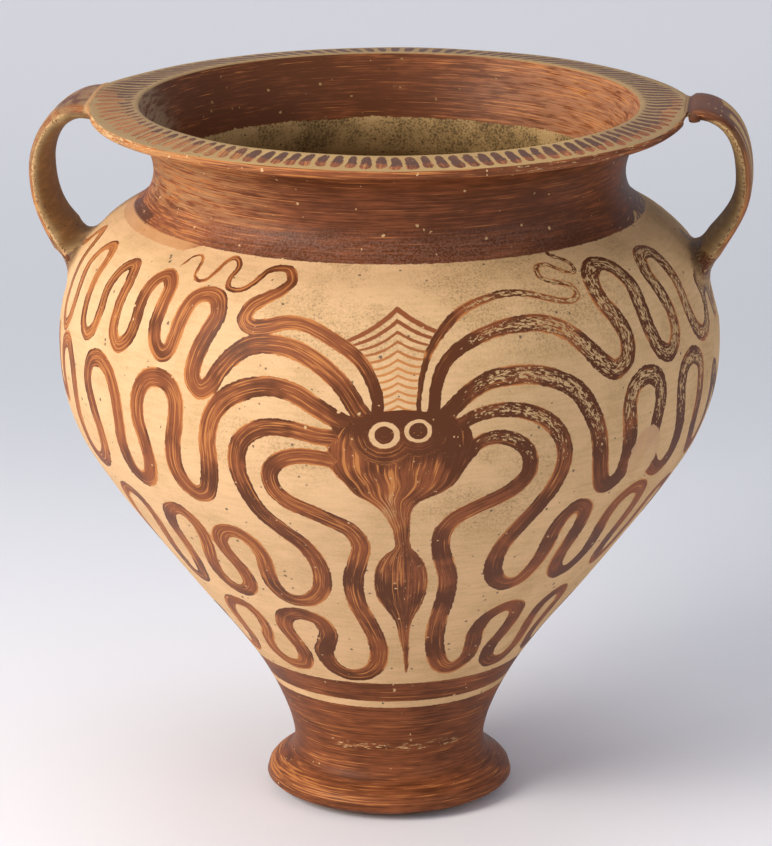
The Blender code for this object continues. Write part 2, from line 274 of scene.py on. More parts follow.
def angle_property(name, description, degrees):
    return bpy.props.FloatProperty(
        name=name, description=description, default=math.radians(degrees), subtype="ANGLE")


def number_property(name, description, default):
    return bpy.props.FloatProperty(name=name, description=description, default=default)


def count_property(name, description, default):
    return bpy.props.IntProperty(name=name, description=description, default=default)


def colour_property(name, description, default):
    return bpy.props.FloatVectorProperty(
        name=name, description=description, default=default, subtype="COLOR")


class VesselSizes(bpy.types.PropertyGroup):
    """Turned shape of the krater."""

    height: length_property("Height", "Foot to the mouth's edge", 0.343)
    mouth_radius: length_property("Mouth radius", "Axis to the mouth's edge", 0.119)
    rim_radius: length_property("Rim radius", "Axis to the lip", 0.1432)
    rim_fall: length_property("Rim fall", "Slope of the rim's top", 0.0021)
    rim_thickness: length_property("Rim thickness", "Height of the lip", 0.004)
    neck_radius: length_property("Neck radius", "Narrowest radius of the neck", 0.1124)
    neck_drop: length_property("Neck drop", "Mouth's edge down to the narrowest line", 0.034)
    belly_height: length_property("Belly height", "Height of the widest line", 0.229)
    stem_radius: length_property("Stem radius", "Narrowest radius above the foot", 0.0467)
    stem_height: length_property("Stem height", "Height of that line", 0.024)
    foot_radius: length_property("Foot radius", "Widest radius of the foot", 0.0603)
    foot_edge_height: length_property("Foot edge height", "Height of that line", 0.006)
    ring_radius: length_property("Ring radius", "Outside of the ring that it stands on", 0.048)
    ring_width: length_property("Ring width", "Width of that ring", 0.009)
    hollow_depth: length_property("Foot hollow", "Depth of the hollow inside the ring", 0.009)
    wall: length_property("Wall", "Thickness of the wall", 0.006)
    floor_height: length_property("Floor height", "Lowest point of the inside", 0.03)
    floor_curve: length_property("Floor curve", "Height over which the floor turns up", 0.016)
    fine_step: length_property("Fine step", "Longest facet down the outside", 0.003)
    front_steps: count_property("Front steps", "Facets round the painted half", 160)
    back_steps: count_property("Back steps", "Facets round the other half", 76)


class StrapSizes(bpy.types.PropertyGroup):
    """The two strap handles."""

    reach: length_property("Reach", "Axis to a strap's outer face", 0.1732)
    width: length_property("Width", "Width of a strap", 0.0445)
    thickness: length_property("Thickness", "Thickness of a strap", 0.0092)
    groove: length_property("Groove", "Dip along the outer face", 0.0012)
    rise: angle_property("Rise", "Angle at which a strap leaves the rim", 23.5)
    rim_flare: length_property("Rim flare", "Extra width at the lip", 0.023)
    rim_lift: length_property("Rim lift", "How far the straps draw the lip up", 0.0034)
    root_drop: length_property("Root drop", "Neck line down to the root", 0.060)
    root_width: length_property("Root width", "Width at the shoulder", 0.060)
    root_thickness: length_property("Root thickness", "Thickness at the shoulder", 0.0195)
    root_pitch: angle_property("Root pitch", "Slope of the strap where it ends", 89)
    overlap: length_property("Overlap", "Depth of the upper end in the rim", 0.010)
    root_depth: length_property("Root depth", "Depth of the lower end in the shoulder", 0.0125)


class ClayColours(bpy.types.PropertyGroup):
    """Colours of the clay, its slip and its paint."""

    slip: colour_property("Slip", "Cream slip", (0.745, 0.468, 0.246))
    # Duller slip; also the colour of the painted shade on the right half and on the straps' inner
    # faces.
    slip_shade: colour_property("Slip shade", "Duller slip", (0.46, 0.290, 0.120))
    paint: colour_property("Paint", "Red-brown paint", (0.262, 0.077, 0.027))
    paint_dark: colour_property("Dark paint", "Thick paint", (0.108, 0.032, 0.0105))
    paint_thin: colour_property("Thin paint", "Thin orange paint", (0.56, 0.215, 0.060))
    dirt: colour_property("Dirt", "Dark specks", (0.06, 0.048, 0.040))
    repair: colour_property("Repair", "Plaster of the repair", (0.62, 0.33, 0.19))


class StageSettings(bpy.types.PropertyGroup):
    """Floor, light and camera."""

    floor_colour: colour_property("Floor", "Colour of the paper sweep", (0.89, 0.885, 0.94))
    # The upright part of the sweep is given a darker colour than the floor: painted shade.
    backdrop_shade_colour: colour_property(
        "Backdrop", "Colour of the sweep behind the vessel", (0.645, 0.665, 0.715))
    camera_distance: length_property("Distance", "Camera to the axis, level", 1.944)
    camera_height: length_property("Camera height", "Camera above the floor", 0.749)
    camera_bearing: angle_property("Bearing", "Camera's place round the axis", 6)
    camera_pitch: angle_property("Pitch", "Camera's look below level", 16.21)
    focal_pixels: number_property("Focal length", "In pixels of the view", 4175)
    key_power: number_property("Key light", "Watts of the large light on the left", 47)
    fill_power: number_property("Fill light", "Watts of the light on the right", 5)
    sky_strength: number_property("Surroundings", "Strength of the even light", 0.46)


def between(start, end, shares):
    """The points at these shares of the way from one (radius, height) to another."""
    return [
        (start[0] + (end[0] - start[0]) * out, start[1] + (end[1] - start[1]) * down)
        for out, down in shares
    ]


def smooth_line(knots, longest):
    """A smooth curve through the knots, in steps about this long at most."""
    knots = [Vector(knot) for knot in knots]
    runs = [end - start for start, end in zip(knots, knots[1:])]
    slopes = [runs[0].normalized()]
    for before, after in zip(runs, runs[1:]):
        lean = before.normalized() * after.length + after.normalized() * before.length
        slopes.append(lean / (before.length + after.length))
    slopes.append(runs[-1].normalized())
    line = [knots[0]]
    for i, run in enumerate(runs):
        reach = run.length / 3
        steps = max(1, round(run.length / longest))
        line += interpolate_bezier(
            knots[i], knots[i] + slopes[i] * reach,
            knots[i + 1] - slopes[i + 1] * reach, knots[i + 1], steps + 1,
        )[1:]
    return line


def ease(share):
    """A share from 0 to 1 that starts and ends gently."""
    share = min(1, max(0, share))
    return share * share * (3 - 2 * share)


def blend(start, end, share):
    """The value this share of the way from start to end."""
    return start + (end - start) * share


def neck_height(sizes):
    return sizes.height - sizes.neck_drop


def belly_radius():
    """The CAD part is as deep as its belly is wide."""
    low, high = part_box(NODE)
    return (high[1] - low[1]) / 2


def outer_wall(sizes, longest):
    """The outside as (radius, height), from under the lip down to the foot's widest line."""
    lip = (
        sizes.rim_radius - sizes.rim_thickness / 3,
        sizes.height - sizes.rim_fall - sizes.rim_thickness,
    )
    neck = (sizes.neck_radius, neck_height(sizes))
    belly = (belly_radius(), sizes.belly_height)
    stem = (sizes.stem_radius, sizes.stem_height)
    foot = (sizes.foot_radius, sizes.foot_edge_height)
    return smooth_line(
        [
            lip, *between(lip, neck, LIP_TO_NECK),
            neck, *between(neck, belly, NECK_TO_BELLY),
            belly, *between(belly, stem, BELLY_TO_STEM),
            stem, *between(stem, foot, STEM_TO_FOOT),
            foot,
        ],
        longest,
    )


def inner_wall(sizes):
    """The inside as (radius, height), from just under the mouth's edge down to the axis."""
    outer = outer_wall(sizes, 0.009)
    turn_up = sizes.floor_height + sizes.floor_curve
    wall = []
    for before, point, after in zip(outer, outer[1:], outer[2:]):
        along = (after - before).normalized()
        inward = Vector((along.y, -along.x))
        spot = point + inward * sizes.wall
        if point.y <= neck_height(sizes) + 0.0001 and spot.y > turn_up:
            wall.append(spot)
    edge = wall[-1]
    turns = [math.radians(degrees) for degrees in range(80, -1, -10)]
    floor = [
        (
            edge.x * math.sin(turn),
            sizes.floor_height + (edge.y - sizes.floor_height) * (1 - math.cos(turn)),
        )
        for turn in turns
    ]
    mouth = (sizes.mouth_radius - 0.0006, sizes.height - 0.0014)
    throat = smooth_line([mouth, *between(mouth, wall[0], MOUTH_TO_THROAT), wall[0]], 0.005)
    return [*throat[:-1], *wall, *floor]


def rim_outline(sizes):
    """The rim's top, from the rounded mouth's edge to the rounded lip."""
    top = sizes.height
    lip_top = top - sizes.rim_fall
    thick = sizes.rim_thickness
    mouth, lip = sizes.mouth_radius, sizes.rim_radius
    bevel_in = [(mouth - 0.0002, top - 0.0006), (mouth + 0.0005, top)]
    even = [(i / 12, i / 12) for i in range(1, 13)]
    across = between((mouth + 0.0005, top), (lip - 0.0010, lip_top), even)
    bevel_out = [
        (lip - 0.0003, lip_top - 0.0004), (lip, lip_top - thick * 0.28),
        (lip, lip_top - thick * 0.55), (lip - 0.0003, lip_top - thick * 0.80),
    ]
    return bevel_in, across, bevel_out


def foot_outline(sizes):
    """From under the foot's widest line, over the standing ring, to the middle of the hollow."""
    foot = (sizes.foot_radius, sizes.foot_edge_height)
    ring = (sizes.ring_radius, 0)
    ring_inside = (sizes.ring_radius - sizes.ring_width, 0)
    hollow = (0, sizes.hollow_depth)
    under = smooth_line([foot, *between(foot, ring, FOOT_TO_RING), ring], 0.003)[1:]
    middle = smooth_line([ring_inside, *between(ring_inside, hollow, RING_TO_AXIS), hollow], 0.005)
    return [*under, *middle]


ZONES = ("outside", "rim", "inside", "underside")


def turn_body(sizes):
    """The bowl turned from its outline, finer on the painted front, with its zones marked."""
    shape = bmesh.new()
    zone = shape.verts.layers.int.new("zone")
    bevel_in, across, bevel_out = rim_outline(sizes)
    runs = (
        ("inside", [*reversed(inner_wall(sizes))]),
        ("rim", [*bevel_in, *across]),
        ("outside", [*bevel_out, *outer_wall(sizes, sizes.fine_step)]),
        ("underside", foot_outline(sizes)),
    )
    line = []
    for name, points in runs:
        for point in points:
            made = shape.verts.new((-point[0], 0, point[1]))
            made[zone] = ZONES.index(name)
            line.append(made)
    edges = [shape.edges.new(pair) for pair in zip(line, line[1:])]
    front = bmesh.ops.spin(
        shape, geom=[*line, *edges], cent=(0, 0, 0), axis=(0, 0, 1), angle=math.pi,
        steps=sizes.front_steps,
    )
    bmesh.ops.spin(
        shape, geom=front["geom_last"], cent=(0, 0, 0), axis=(0, 0, 1), angle=math.pi,
        steps=sizes.back_steps,
    )
    bmesh.ops.remove_doubles(shape, verts=shape.verts, dist=0.00002)
    bmesh.ops.recalc_face_normals(shape, faces=shape.faces)
    for face in shape.faces:
        face.material_index = max(vert[zone] for vert in face.verts)
        zones = {vert[zone] for vert in face.verts}
        if zones == {0, 1} or zones == {0, 3}:
            face.material_index = 0
        face.smooth = True
    return shape


def strap_line(straps, sizes, steps, side):
    """The path that carries a strap as (radius, height): over from the lip, down to the root."""
    fit = STRAP_FITS[side]
    start = Vector((
        sizes.rim_radius - straps.overlap,
        sizes.height - (sizes.rim_fall + sizes.rim_thickness) / 2 + fit["start"],
    ))
    turn = Vector((straps.reach + fit["reach"] - straps.thickness / 2, neck_height(sizes)))
    root_height = neck_height(sizes) - straps.root_drop
    above = [point for point in outer_wall(sizes, sizes.wall) if point.y >= root_height]
    root = Vector((above[-1].x - straps.root_depth, root_height))
    rise = straps.rise + math.radians(fit["rise"])
    rising = Vector((math.cos(rise), math.sin(rise)))
    landing = Vector((math.cos(straps.root_pitch), math.sin(straps.root_pitch)))
    upper = interpolate_bezier(
        start, start + rising * (turn.x - start.x) * fit["first"],
        turn + Vector((0, (start.y - turn.y) * fit["over"])), turn, steps + 1,
    )
    lower = interpolate_bezier(
        turn, turn - Vector((0, (turn.y - root.y) * fit["under"])),
        root + landing * (turn.y - root.y) * fit["pull"], root, steps + 1,
    )
    return [*upper, *lower[1:]]


STRAP_STEPS = 24
STRAP_SIDES = 28
# The two straps are hand-made: how each rises, bends, reaches and thickens
STRAP_FITS = {
    -1: {
        "start": -0.0017, "rise": -1, "first": 0.623, "over": 0.649, "reach": -0.0005,
        "under": 0.572, "pull": 0.363, "rim": 0.0111, "turn": 0.0096, "root": 0.0024,
        "flare": 0.0, "aside": 0.0,
    },
    1: {
        "start": -0.0019, "rise": 1, "first": 0.762, "over": 0.830, "reach": 0.0006,
        "under": 0.388, "pull": 0.429, "rim": 0.0077, "turn": 0.0093, "root": -0.0028,
        "flare": -0.019, "aside": 0.008,
    },
}


def strap_spread(straps, share, side):
    """Width and sideways place of a strap; the share runs from 0 at the rim to 2 at the root."""
    fit = STRAP_FITS[side]
    near_rim = 1 - ease(share / 0.55)
    width = straps.width + (straps.rim_flare + fit["flare"]) * near_rim
    return blend(width, straps.root_width, ease((share - 1.2) / 0.8)), fit["aside"] * near_rim


def make_strap(straps, sizes, side):
    """A strap handle as bridged rings, each a circle pressed to the strap's section."""
    fit = STRAP_FITS[side]
    line = strap_line(straps, sizes, STRAP_STEPS, side)
    last = len(line) - 1
    shape = bmesh.new()
    for i, centre in enumerate(line):
        along = (line[min(i + 1, last)] - line[max(i - 1, 0)]).normalized()
        outward = Vector((-along.y, along.x))
        spread = ease((i / STRAP_STEPS - 1.2) / 0.8)
        width, aside = strap_spread(straps, i / STRAP_STEPS, side)
        thickness = blend(fit["rim"], fit["turn"], ease(i / STRAP_STEPS))
        drop = (thickness - straps.thickness) / 2
        thickness = blend(thickness, straps.root_thickness + fit["root"], spread)
        flatness = blend(0.7, 0.95, spread)
        ring = bmesh.ops.create_circle(shape, segments=STRAP_SIDES, radius=1)["verts"]
        for vert in ring:
            across, up = vert.co.x, vert.co.y
            height = math.copysign(abs(up) ** flatness, up) * thickness / 2
            height -= straps.groove * max(0, up) ** 3 + drop
            if height > 0:
                height *= ease((i / STRAP_STEPS - 0.08) / 0.10)
            spot = centre + outward * height
            vert.co = (side * spot.x, across * width / 2 + aside, spot.y)
    bmesh.ops.bridge_loops(shape, edges=list(shape.edges))
    bmesh.ops.holes_fill(shape, edges=[edge for edge in shape.edges if len(edge.link_faces) == 1])
    bmesh.ops.recalc_face_normals(shape, faces=shape.faces)
    return shape


def make_lump():
    """A crumb of clay left under the right strap where it was luted to the rim."""
    shape = bmesh.new()
    lump = bmesh.ops.create_icosphere(shape, subdivisions=3, radius=0.0025)
    bmesh.ops.scale(shape, verts=lump["verts"], vec=(1.25, 1.5, 1.0))
    bmesh.ops.translate(shape, verts=lump["verts"], vec=(0.1448, -0.0195, 0.3411))
    return shape


def as_object(shape, name):
    """A bmesh as a new linked object; the bmesh is freed."""
    mesh = bpy.data.meshes.new(name)
    shape.to_mesh(mesh)
    shape.free()
    made = bpy.data.objects.new(name, mesh)
    bpy.context.scene.collection.objects.link(made)
    return made


def join_shapes(body, others):
    """One mesh of the body and the others, where they overlap made one."""
    for other in others:
        union = body.modifiers.new("union", "BOOLEAN")
        union.operation = "UNION"
        union.solver = "EXACT"
        union.material_mode = "INDEX"
        union.object = other
    ready = body.evaluated_get(bpy.context.evaluated_depsgraph_get())
    mesh = bpy.data.meshes.new_from_object(ready)
    body.modifiers.clear()
    old = body.data
    body.data = mesh
    bpy.data.meshes.remove(old)
    for other in others:
        bpy.data.objects.remove(other)


def bearing_of(point):
    """Degrees about the axis, from -Y towards +X."""
    return math.degrees(math.atan2(point.x, -point.y))


def soften_joins(shape, trees, near, rounds):
    """Smooths the clay within this distance of both the body and a strap."""
    joint = []
    for vert in shape.verts:
        if abs(vert.co.x) < 0.10:
            continue
        side = 1 if vert.co.x > 0 else -1
        to_body = trees["body"].find_nearest(vert.co, near)[3]
        to_strap = trees[side].find_nearest(vert.co, near)[3]
        if to_body is not None and to_strap is not None and vert.co.z < 0.34:
            joint.append(vert)
    for _ in range(rounds):
        bmesh.ops.smooth_vert(
            shape, verts=joint, factor=0.5, use_axis_x=True, use_axis_y=True, use_axis_z=True,
        )


def refine_front(shape, wall, low, high, side_bearing):
    """Halves the facets of the painted front and puts the new points on the turned wall."""
    def on_front(vert):
        return low < vert.co.z < high and abs(bearing_of(vert.co)) < side_bearing
    faces = [
        face for face in shape.faces
        if face.material_index == 0 and len(face.verts) == 4 and all(map(on_front, face.verts))
    ]
    edges = {edge for face in faces for edge in face.edges}
    made = bmesh.ops.subdivide_edges(shape, edges=list(edges), cuts=1, use_grid_fill=True)
    heights = np.array([point.y for point in reversed(wall)])
    radii = np.array([point.x for point in reversed(wall)])
    for vert in {item for item in made["geom_inner"] if isinstance(item, bmesh.types.BMVert)}:
        radius = float(np.interp(vert.co.z, heights, radii))
        scale = radius / math.hypot(vert.co.x, vert.co.y)
        vert.co.x *= scale
        vert.co.y *= scale


def roughen(shape, amount, scale):
    """The slight unevenness of a hand-finished wall."""
    for vert in shape.verts:
        if vert.co.z > 0.002:
            vert.co += vert.normal * noise.noise(vert.co * scale) * amount


def on_wall(bearing, height, wall_table):
    """The point of the outer wall at this bearing and height in mm."""
    radius = float(np.interp(height * MM, *wall_table))
    turn = math.radians(bearing)
    return Vector((radius * math.sin(turn), -radius * math.cos(turn), height * MM))


def wave_on(knots, side, train):
    """Carries a wave train on from its last knot round the plainer back."""
    if train is None:
        return knots
    low, high, length, end, _ = train
    last_bearing, last_height = knots[-1]
    rising = last_height < (low + high) / 2
    bearing = abs(last_bearing)
    carried = list(knots)
    while bearing < end:
        bearing += length / 4
        carried.append((side * bearing, (low + high) / 2))
        bearing += length / 4
        carried.append((side * bearing, high if rising else low))
        rising = not rising
    return carried


STROKE_STEP = 0.8  # mm between the points by which a stroke is found
END_POINTS = 60  # over which a stroke takes up its width on the back
END_TAPER = 60  # mm over which it then comes to its end


def stroke_points(knots, widths, end_width, wall_table):
    """Points along a stroke with their direction, run from the head and half width, in mm."""
    flat = [Vector((bearing * PLAN_MM_PER_DEGREE, height)) for bearing, height in knots]
    line = smooth_line(flat, STROKE_STEP * 1.25)
    spots = [on_wall(point.x / PLAN_MM_PER_DEGREE, point.y, wall_table) for point in line]
    known = len(smooth_line(flat[: len(widths["knots"])], STROKE_STEP * 1.25)) - 1
    points = []
    run = 0.0
    for i, spot in enumerate(spots):
        before, after = spots[max(i - 1, 0)], spots[min(i + 1, len(spots) - 1)]
        if i:
            run += (spot - spots[i - 1]).length / MM
        share = min(1, i / known)
        width = float(np.interp(share, np.linspace(0, 1, len(widths["mm"])), widths["mm"]))
        if i > known:
            width = blend(width, end_width, min(1, (i - known) / END_POINTS))
            left = (len(spots) - 1 - i) * STROKE_STEP
            width *= 0.25 + 0.75 * ease(left / END_TAPER)
        width *= 1 + 0.07 * noise.noise(Vector((run / 26, knots[0][1], 0)))
        points.append((spot, (after - before).normalized(), run, width / 2))
    return points


def stroke_table(strokes):
    """A search tree over every point of these strokes."""
    points = [point + (i,) for i, stroke in enumerate(strokes) for point in stroke]
    tree = kdtree.KDTree(len(points))
    for i, point in enumerate(points):
        tree.insert(point[0], i)
    tree.balance()
    ends = [(stroke[0][0], stroke[0][1], stroke[-1][0], stroke[-1][1]) for stroke in strokes]
    return tree, points, ends


FAR_FROM_PAINT = 60.0  # mm
NEAR_POINTS = 12  # of a table, among which the nearest edge is looked for
NEAR_END = 0.012


def nearest_stroke(co, normal, table):
    """Signed distance across the nearest stroke, its half width, plain distance and run, in mm."""
    tree, points, ends = table
    best = None
    for _, index, distance in tree.find_n(co, NEAR_POINTS):
        edge = distance / MM - points[index][3]
        if best is None or edge < best[0]:
            best = (edge, index)
    centre, along, run, half, stroke = points[best[1]]
    offset = (co - centre) / MM
    side = normal.cross(along)
    across = offset.dot(side)
    forward = offset.dot(along)
    start, start_along, end, end_along = ends[stroke]
    past_end = (co - end).dot(end_along) / MM
    past_start = -(co - start).dot(start_along) / MM
    near_end = (co - end).length < NEAR_END and past_end > 0 and centre == end
    near_start = (co - start).length < NEAR_END and past_start > 0 and centre == start
    if near_end or near_start:
        beyond = past_end if near_end else past_start
        across = math.copysign(math.hypot(across, beyond), across)
    return across, half, offset.length, run + forward


def fan_values(bearing, height):
    """The chevron that a point lies on, counted from the top, and its depth in the fan in mm."""
    aside = abs(bearing - FAN_MIDDLE)
    slope, curl = FAN_FALLS[0 if bearing < FAN_MIDDLE else 1]
    rows = np.arange(len(FAN_APEXES))
    row = 0.0
    for _ in range(4):
        flatter = curl + FAN_FLATTER * min(row, 7)
        turning = min(aside, slope / (2 * flatter))
        start = height + turning * (slope - flatter * turning)
        row = float(np.interp(-start, [-apex for apex in FAN_APEXES], rows))
    if start > FAN_APEXES[0]:
        row = (FAN_APEXES[0] - start) / 4.4
    if start < FAN_APEXES[-1]:
        row = len(FAN_APEXES) + 4.0
    heights = [edge[0] for edge in FAN_EDGES]
    left = float(np.interp(height, heights, [edge[1] for edge in FAN_EDGES]))
    right = float(np.interp(height, heights, [edge[2] for edge in FAN_EDGES]))
    return row, min(bearing - left, right - bearing) * PLAN_MM_PER_DEGREE


def figure_table():
    """The figure's left and right outlines, looked up by height."""
    outlines = []
    for edge in (1, 2):
        line = smooth_line([(row[edge] * PLAN_MM_PER_DEGREE, row[0]) for row in FIGURE_ROWS], 1.0)
        places = np.array([(point.y, point.x / PLAN_MM_PER_DEGREE) for point in reversed(line)])
        outlines.append((places[:, 0], places[:, 1]))
    return outlines


def figure_values(bearing, height, radius, outlines):
    """Distance across the figure from its middle, and its half width there, in mm."""
    left = float(np.interp(height, *outlines[0]))
    right = float(np.interp(height, *outlines[1]))
    arc = math.radians(1) * radius / MM
    middle, half = (left + right) / 2, (right - left) / 2 * arc
    top = FIGURE_ROWS[0][0]
    tip = FIGURE_ROWS[-1][0]
    across = (bearing - middle) * arc
    if height > top:
        half -= (height - top) * 12
    if height < tip:
        half -= tip - height
    return across, half


def raise_rim(mesh, straps):
    """Draws the rim up to the straps, as the potter's hand left it."""
    strapped = mesh.attributes["runs"].data
    for vert, paint in zip(mesh.vertices, strapped):
        if abs(vert.co.x) > 0.09 and vert.co.z > 0.325:
            out = ease((math.hypot(vert.co.x, vert.co.y) - 0.122) / 0.020)
            near = math.exp(-((vert.co.y / 0.040) ** 2)) * ease((vert.co.z - 0.325) / 0.010)
            vert.co.z += straps.rim_lift * out * near * (1 - paint.vector[2])


def strap_table(straps, sizes, side):
    """A strap's path, and a search tree over its points."""
    line = strap_line(straps, sizes, 60, side)
    tree = kdtree.KDTree(len(line))
    for i, point in enumerate(line):
        tree.insert((side * point.x, 0, point.y), i)
    tree.balance()
    return tree, line


def strap_values(co, side, straps, sizes, table, wall_table):
    """A point's place along, across and out from a strap, and how far it is on the strap."""
    tree, line = table
    _, index, _ = tree.find((co.x, 0, co.z))
    last = len(line) - 1
    along = (line[min(index + 1, last)] - line[max(index - 1, 0)]).normalized()
    outward = Vector((-along.y, along.x))
    offset = Vector((abs(co.x), co.z)) - line[index]
    radius = math.hypot(co.x, co.y)
    beyond = (radius - float(np.interp(co.z, *wall_table))) / 0.003
    if co.z / MM > 336 and radius > 0.125:
        top = sizes.height - sizes.rim_fall * (radius - sizes.mouth_radius) / 0.0242
        beyond = max((co.z - top - 0.0004) / 0.001, (radius - sizes.rim_radius) / 0.0015)
    cover = ease(beyond) * ease((0.040 - abs(co.y)) / 0.004)
    width, aside = strap_spread(straps, 2 * index / last, side)
    place = (index / last, (co.y - aside) * 2 / width, offset.dot(outward) / 0.0046)
    return place, cover


def lay_paint(mesh, sizes, straps):
    """Stores where every point of the mesh lies on the painter's strokes."""
    wall = outer_wall(sizes, 0.001)
    wall_table = (
        np.array([point.y for point in reversed(wall)]),
        np.array([point.x for point in reversed(wall)]),
    )
    strokes = []
    for side, arms, widths in ((-1, LEFT_ARMS, LEFT_WIDTHS), (1, RIGHT_ARMS, RIGHT_WIDTHS)):
        for knots, width, train in zip(arms, widths, BACK_WAVES):
            known = {"knots": knots, "mm": width}
            end_width = train[4] if train else width[-1]
            whole = wave_on(knots, side, train)
            strokes.append(stroke_points(whole, known, end_width, wall_table))
    tables = (stroke_table(strokes[0::2]), stroke_table(strokes[1::2]))
    outlines = figure_table()
    strap_tables = {side: strap_table(straps, sizes, side) for side in (-1, 1)}
    count = len(mesh.vertices)
    arms = [np.zeros((count, 3)), np.zeros((count, 3))]
    runs = np.zeros((count, 3))
    figure = np.zeros((count, 3))
    fan = np.zeros((count, 3))
    strap = np.zeros((count, 3))
    for i, vert in enumerate(mesh.vertices):
        co, normal = vert.co, vert.normal
        radius = math.hypot(co.x, co.y)
        height = co.z / MM
        bearing = bearing_of(co)
        for which, table in enumerate(tables):
            arms[which][i] = (FAR_FROM_PAINT, 1, FAR_FROM_PAINT)
            if 60 < height < 300:
                across, half, away, run = nearest_stroke(co, normal, table)
                arms[which][i] = (across, half, away)
                runs[i, which] = run
        figure[i] = (FAR_FROM_PAINT, 1, height)
        fan[i] = (-4, -FAR_FROM_PAINT, 0)
        if abs(bearing) < 40 and 70 < height < 295:
            across, half = figure_values(bearing, height, radius, outlines)
            figure[i] = (across, half, height)
            fan[i, :2] = fan_values(bearing, height)
        if abs(co.x) > 0.11:
            side = 1 if co.x > 0 else -1
            strap[i], runs[i, 2] = strap_values(
                co, side, straps, sizes, strap_tables[side], wall_table)
    for name, values in (
        ("arms_odd", arms[0]), ("arms_even", arms[1]), ("runs", runs),
        ("figure", figure), ("fan", fan), ("strap", strap),
    ):
        made = mesh.attributes.new(name, "FLOAT_VECTOR", "POINT")
        made.data.foreach_set("vector", values.astype(np.float32).ravel())


class Value:
    """An output in a node tree, on which + - * / ** | and abs add the nodes that do them."""

    def __init__(self, graph, socket):
        self.graph = graph
        self.socket = socket

    def __add__(self, other):
        return self.graph.math("ADD", self, other)

    def __radd__(self, other):
        return self.graph.math("ADD", other, self)

    def __sub__(self, other):
        return self.graph.math("SUBTRACT", self, other)

    def __rsub__(self, other):
        return self.graph.math("SUBTRACT", other, self)

    def __mul__(self, other):
        return self.graph.math("MULTIPLY", self, other)

    def __truediv__(self, other):
        return self.graph.math("DIVIDE", self, other)

    def __pow__(self, other):
        return self.graph.math("POWER", self, other)

    def __or__(self, other):
        return self.graph.math("MAXIMUM", self, other)

    def __abs__(self):
        return self.graph.math("ABSOLUTE", self)

    def step(self, low, high):
        """0 below low and 1 above high, or the other way about where low is the larger."""
        return self.graph.output(
            "ShaderNodeMapRange", "Result", {"Value": self, "From Min": low, "From Max": high},
            interpolation_type="SMOOTHSTEP",
        )

    def within(self, low, high, soft):
        """1 between low and high, with soft ends."""
        return self.step(low - soft, low + soft) * self.step(high + soft, high - soft)

    def blend(self, first, second):
        """The value this share of the way from first to second."""
        return first * (1.0 - self) + second * self


class Graph:
    """Adds linked nodes to a node tree, one call for each."""

    def __init__(self, tree):
        self.tree = tree

    def put(self, socket, value):
        if isinstance(value, Value):
            self.tree.links.new(value.socket, socket)
        elif socket.type == "RGBA":
            socket.default_value = (*value[:3], 1)
        else:
            socket.default_value = value

    def node(self, kind, values=None, **settings):
        made = self.tree.nodes.new(kind)
        for name, value in settings.items():
            setattr(made, name, value)
        for name, value in (values or {}).items():
            self.put(made.inputs[name], value)
        return made

    def output(self, kind, name, values=None, **settings):
        return Value(self, self.node(kind, values, **settings).outputs[name])

    def math(self, operation, *values, clamp=False):
        values = dict(enumerate(values))
        return self.output("ShaderNodeMath", 0, values, operation=operation, use_clamp=clamp)

    def mix(self, share, first, second):
        values = {0: share, 6: first, 7: second}
        return self.output("ShaderNodeMix", 2, values, data_type="RGBA")

    def mix_vector(self, share, first, second):
        values = {0: share, 4: first, 5: second}
        return self.output("ShaderNodeMix", 1, values, data_type="VECTOR")

    def vector(self, x, y, z):
        return self.output("ShaderNodeCombineXYZ", 0, {0: x, 1: y, 2: z})

    def parts(self, vector):
        made = self.node("ShaderNodeSeparateXYZ", {0: vector})
        return [Value(self, socket) for socket in made.outputs]

    def attribute(self, name):
        return self.parts(self.output("ShaderNodeAttribute", "Vector", attribute_name=name))

    def noise(self, vector, scale, detail, roughness):
        return self.output("ShaderNodeTexNoise", "Fac", {
            "Vector": vector, "Scale": scale, "Detail": detail, "Roughness": roughness,
        })

    def stretched(self, vector, x, y, z):
        values = {0: vector, 1: (x, y, z)}
        return self.output("ShaderNodeVectorMath", 0, values, operation="MULTIPLY")

    def group(self, tree, shared=None, **values):
        """The outputs of a group node, whose inputs are fed by name."""
        made = self.node("ShaderNodeGroup", node_tree=tree)
        given = {**(shared or {}), **{name.capitalize(): value for name, value in values.items()}}
        for socket in made.inputs:
            if socket.name in given:
                self.put(socket, given[socket.name])
        return {socket.name: Value(self, socket) for socket in made.outputs}


def new_group(name, values, outputs, vectors=(), colours=()):
    """A shader group: its tree, its graph, what it's given and what it gives."""
    tree = bpy.data.node_groups.new(name, "ShaderNodeTree")
    kinds = dict.fromkeys(vectors, "NodeSocketVector")
    kinds.update(dict.fromkeys(colours, "NodeSocketColor"))
    for in_out, labels in (("INPUT", (*values, *vectors)), ("OUTPUT", (*colours, *outputs))):
        for label in labels:
            kind = kinds.get(label, "NodeSocketFloat")
            tree.interface.new_socket(name=label, in_out=in_out, socket_type=kind)
    graph = Graph(tree)
    entry = graph.node("NodeGroupInput")
    given = {socket.name: Value(graph, socket) for socket in entry.outputs if socket.name}
    return tree, graph, given, graph.node("NodeGroupOutput").inputs


def round_group():
    """Bearing in degrees, radius and height in mm of a point about the axis."""
    tree, g, given, out = new_group(
        "round the axis", (), ("Bearing", "Radius", "Height"), vectors=("Point",))
    x, y, z = g.parts(given["Point"])
    g.put(out["Bearing"], g.math("DEGREES", g.math("ARCTAN2", x, y * -1.0)))
    g.put(out["Radius"], g.math("SQRT", x * x + y * y) * 1000.0)
    g.put(out["Height"], z * 1000.0)
    return tree


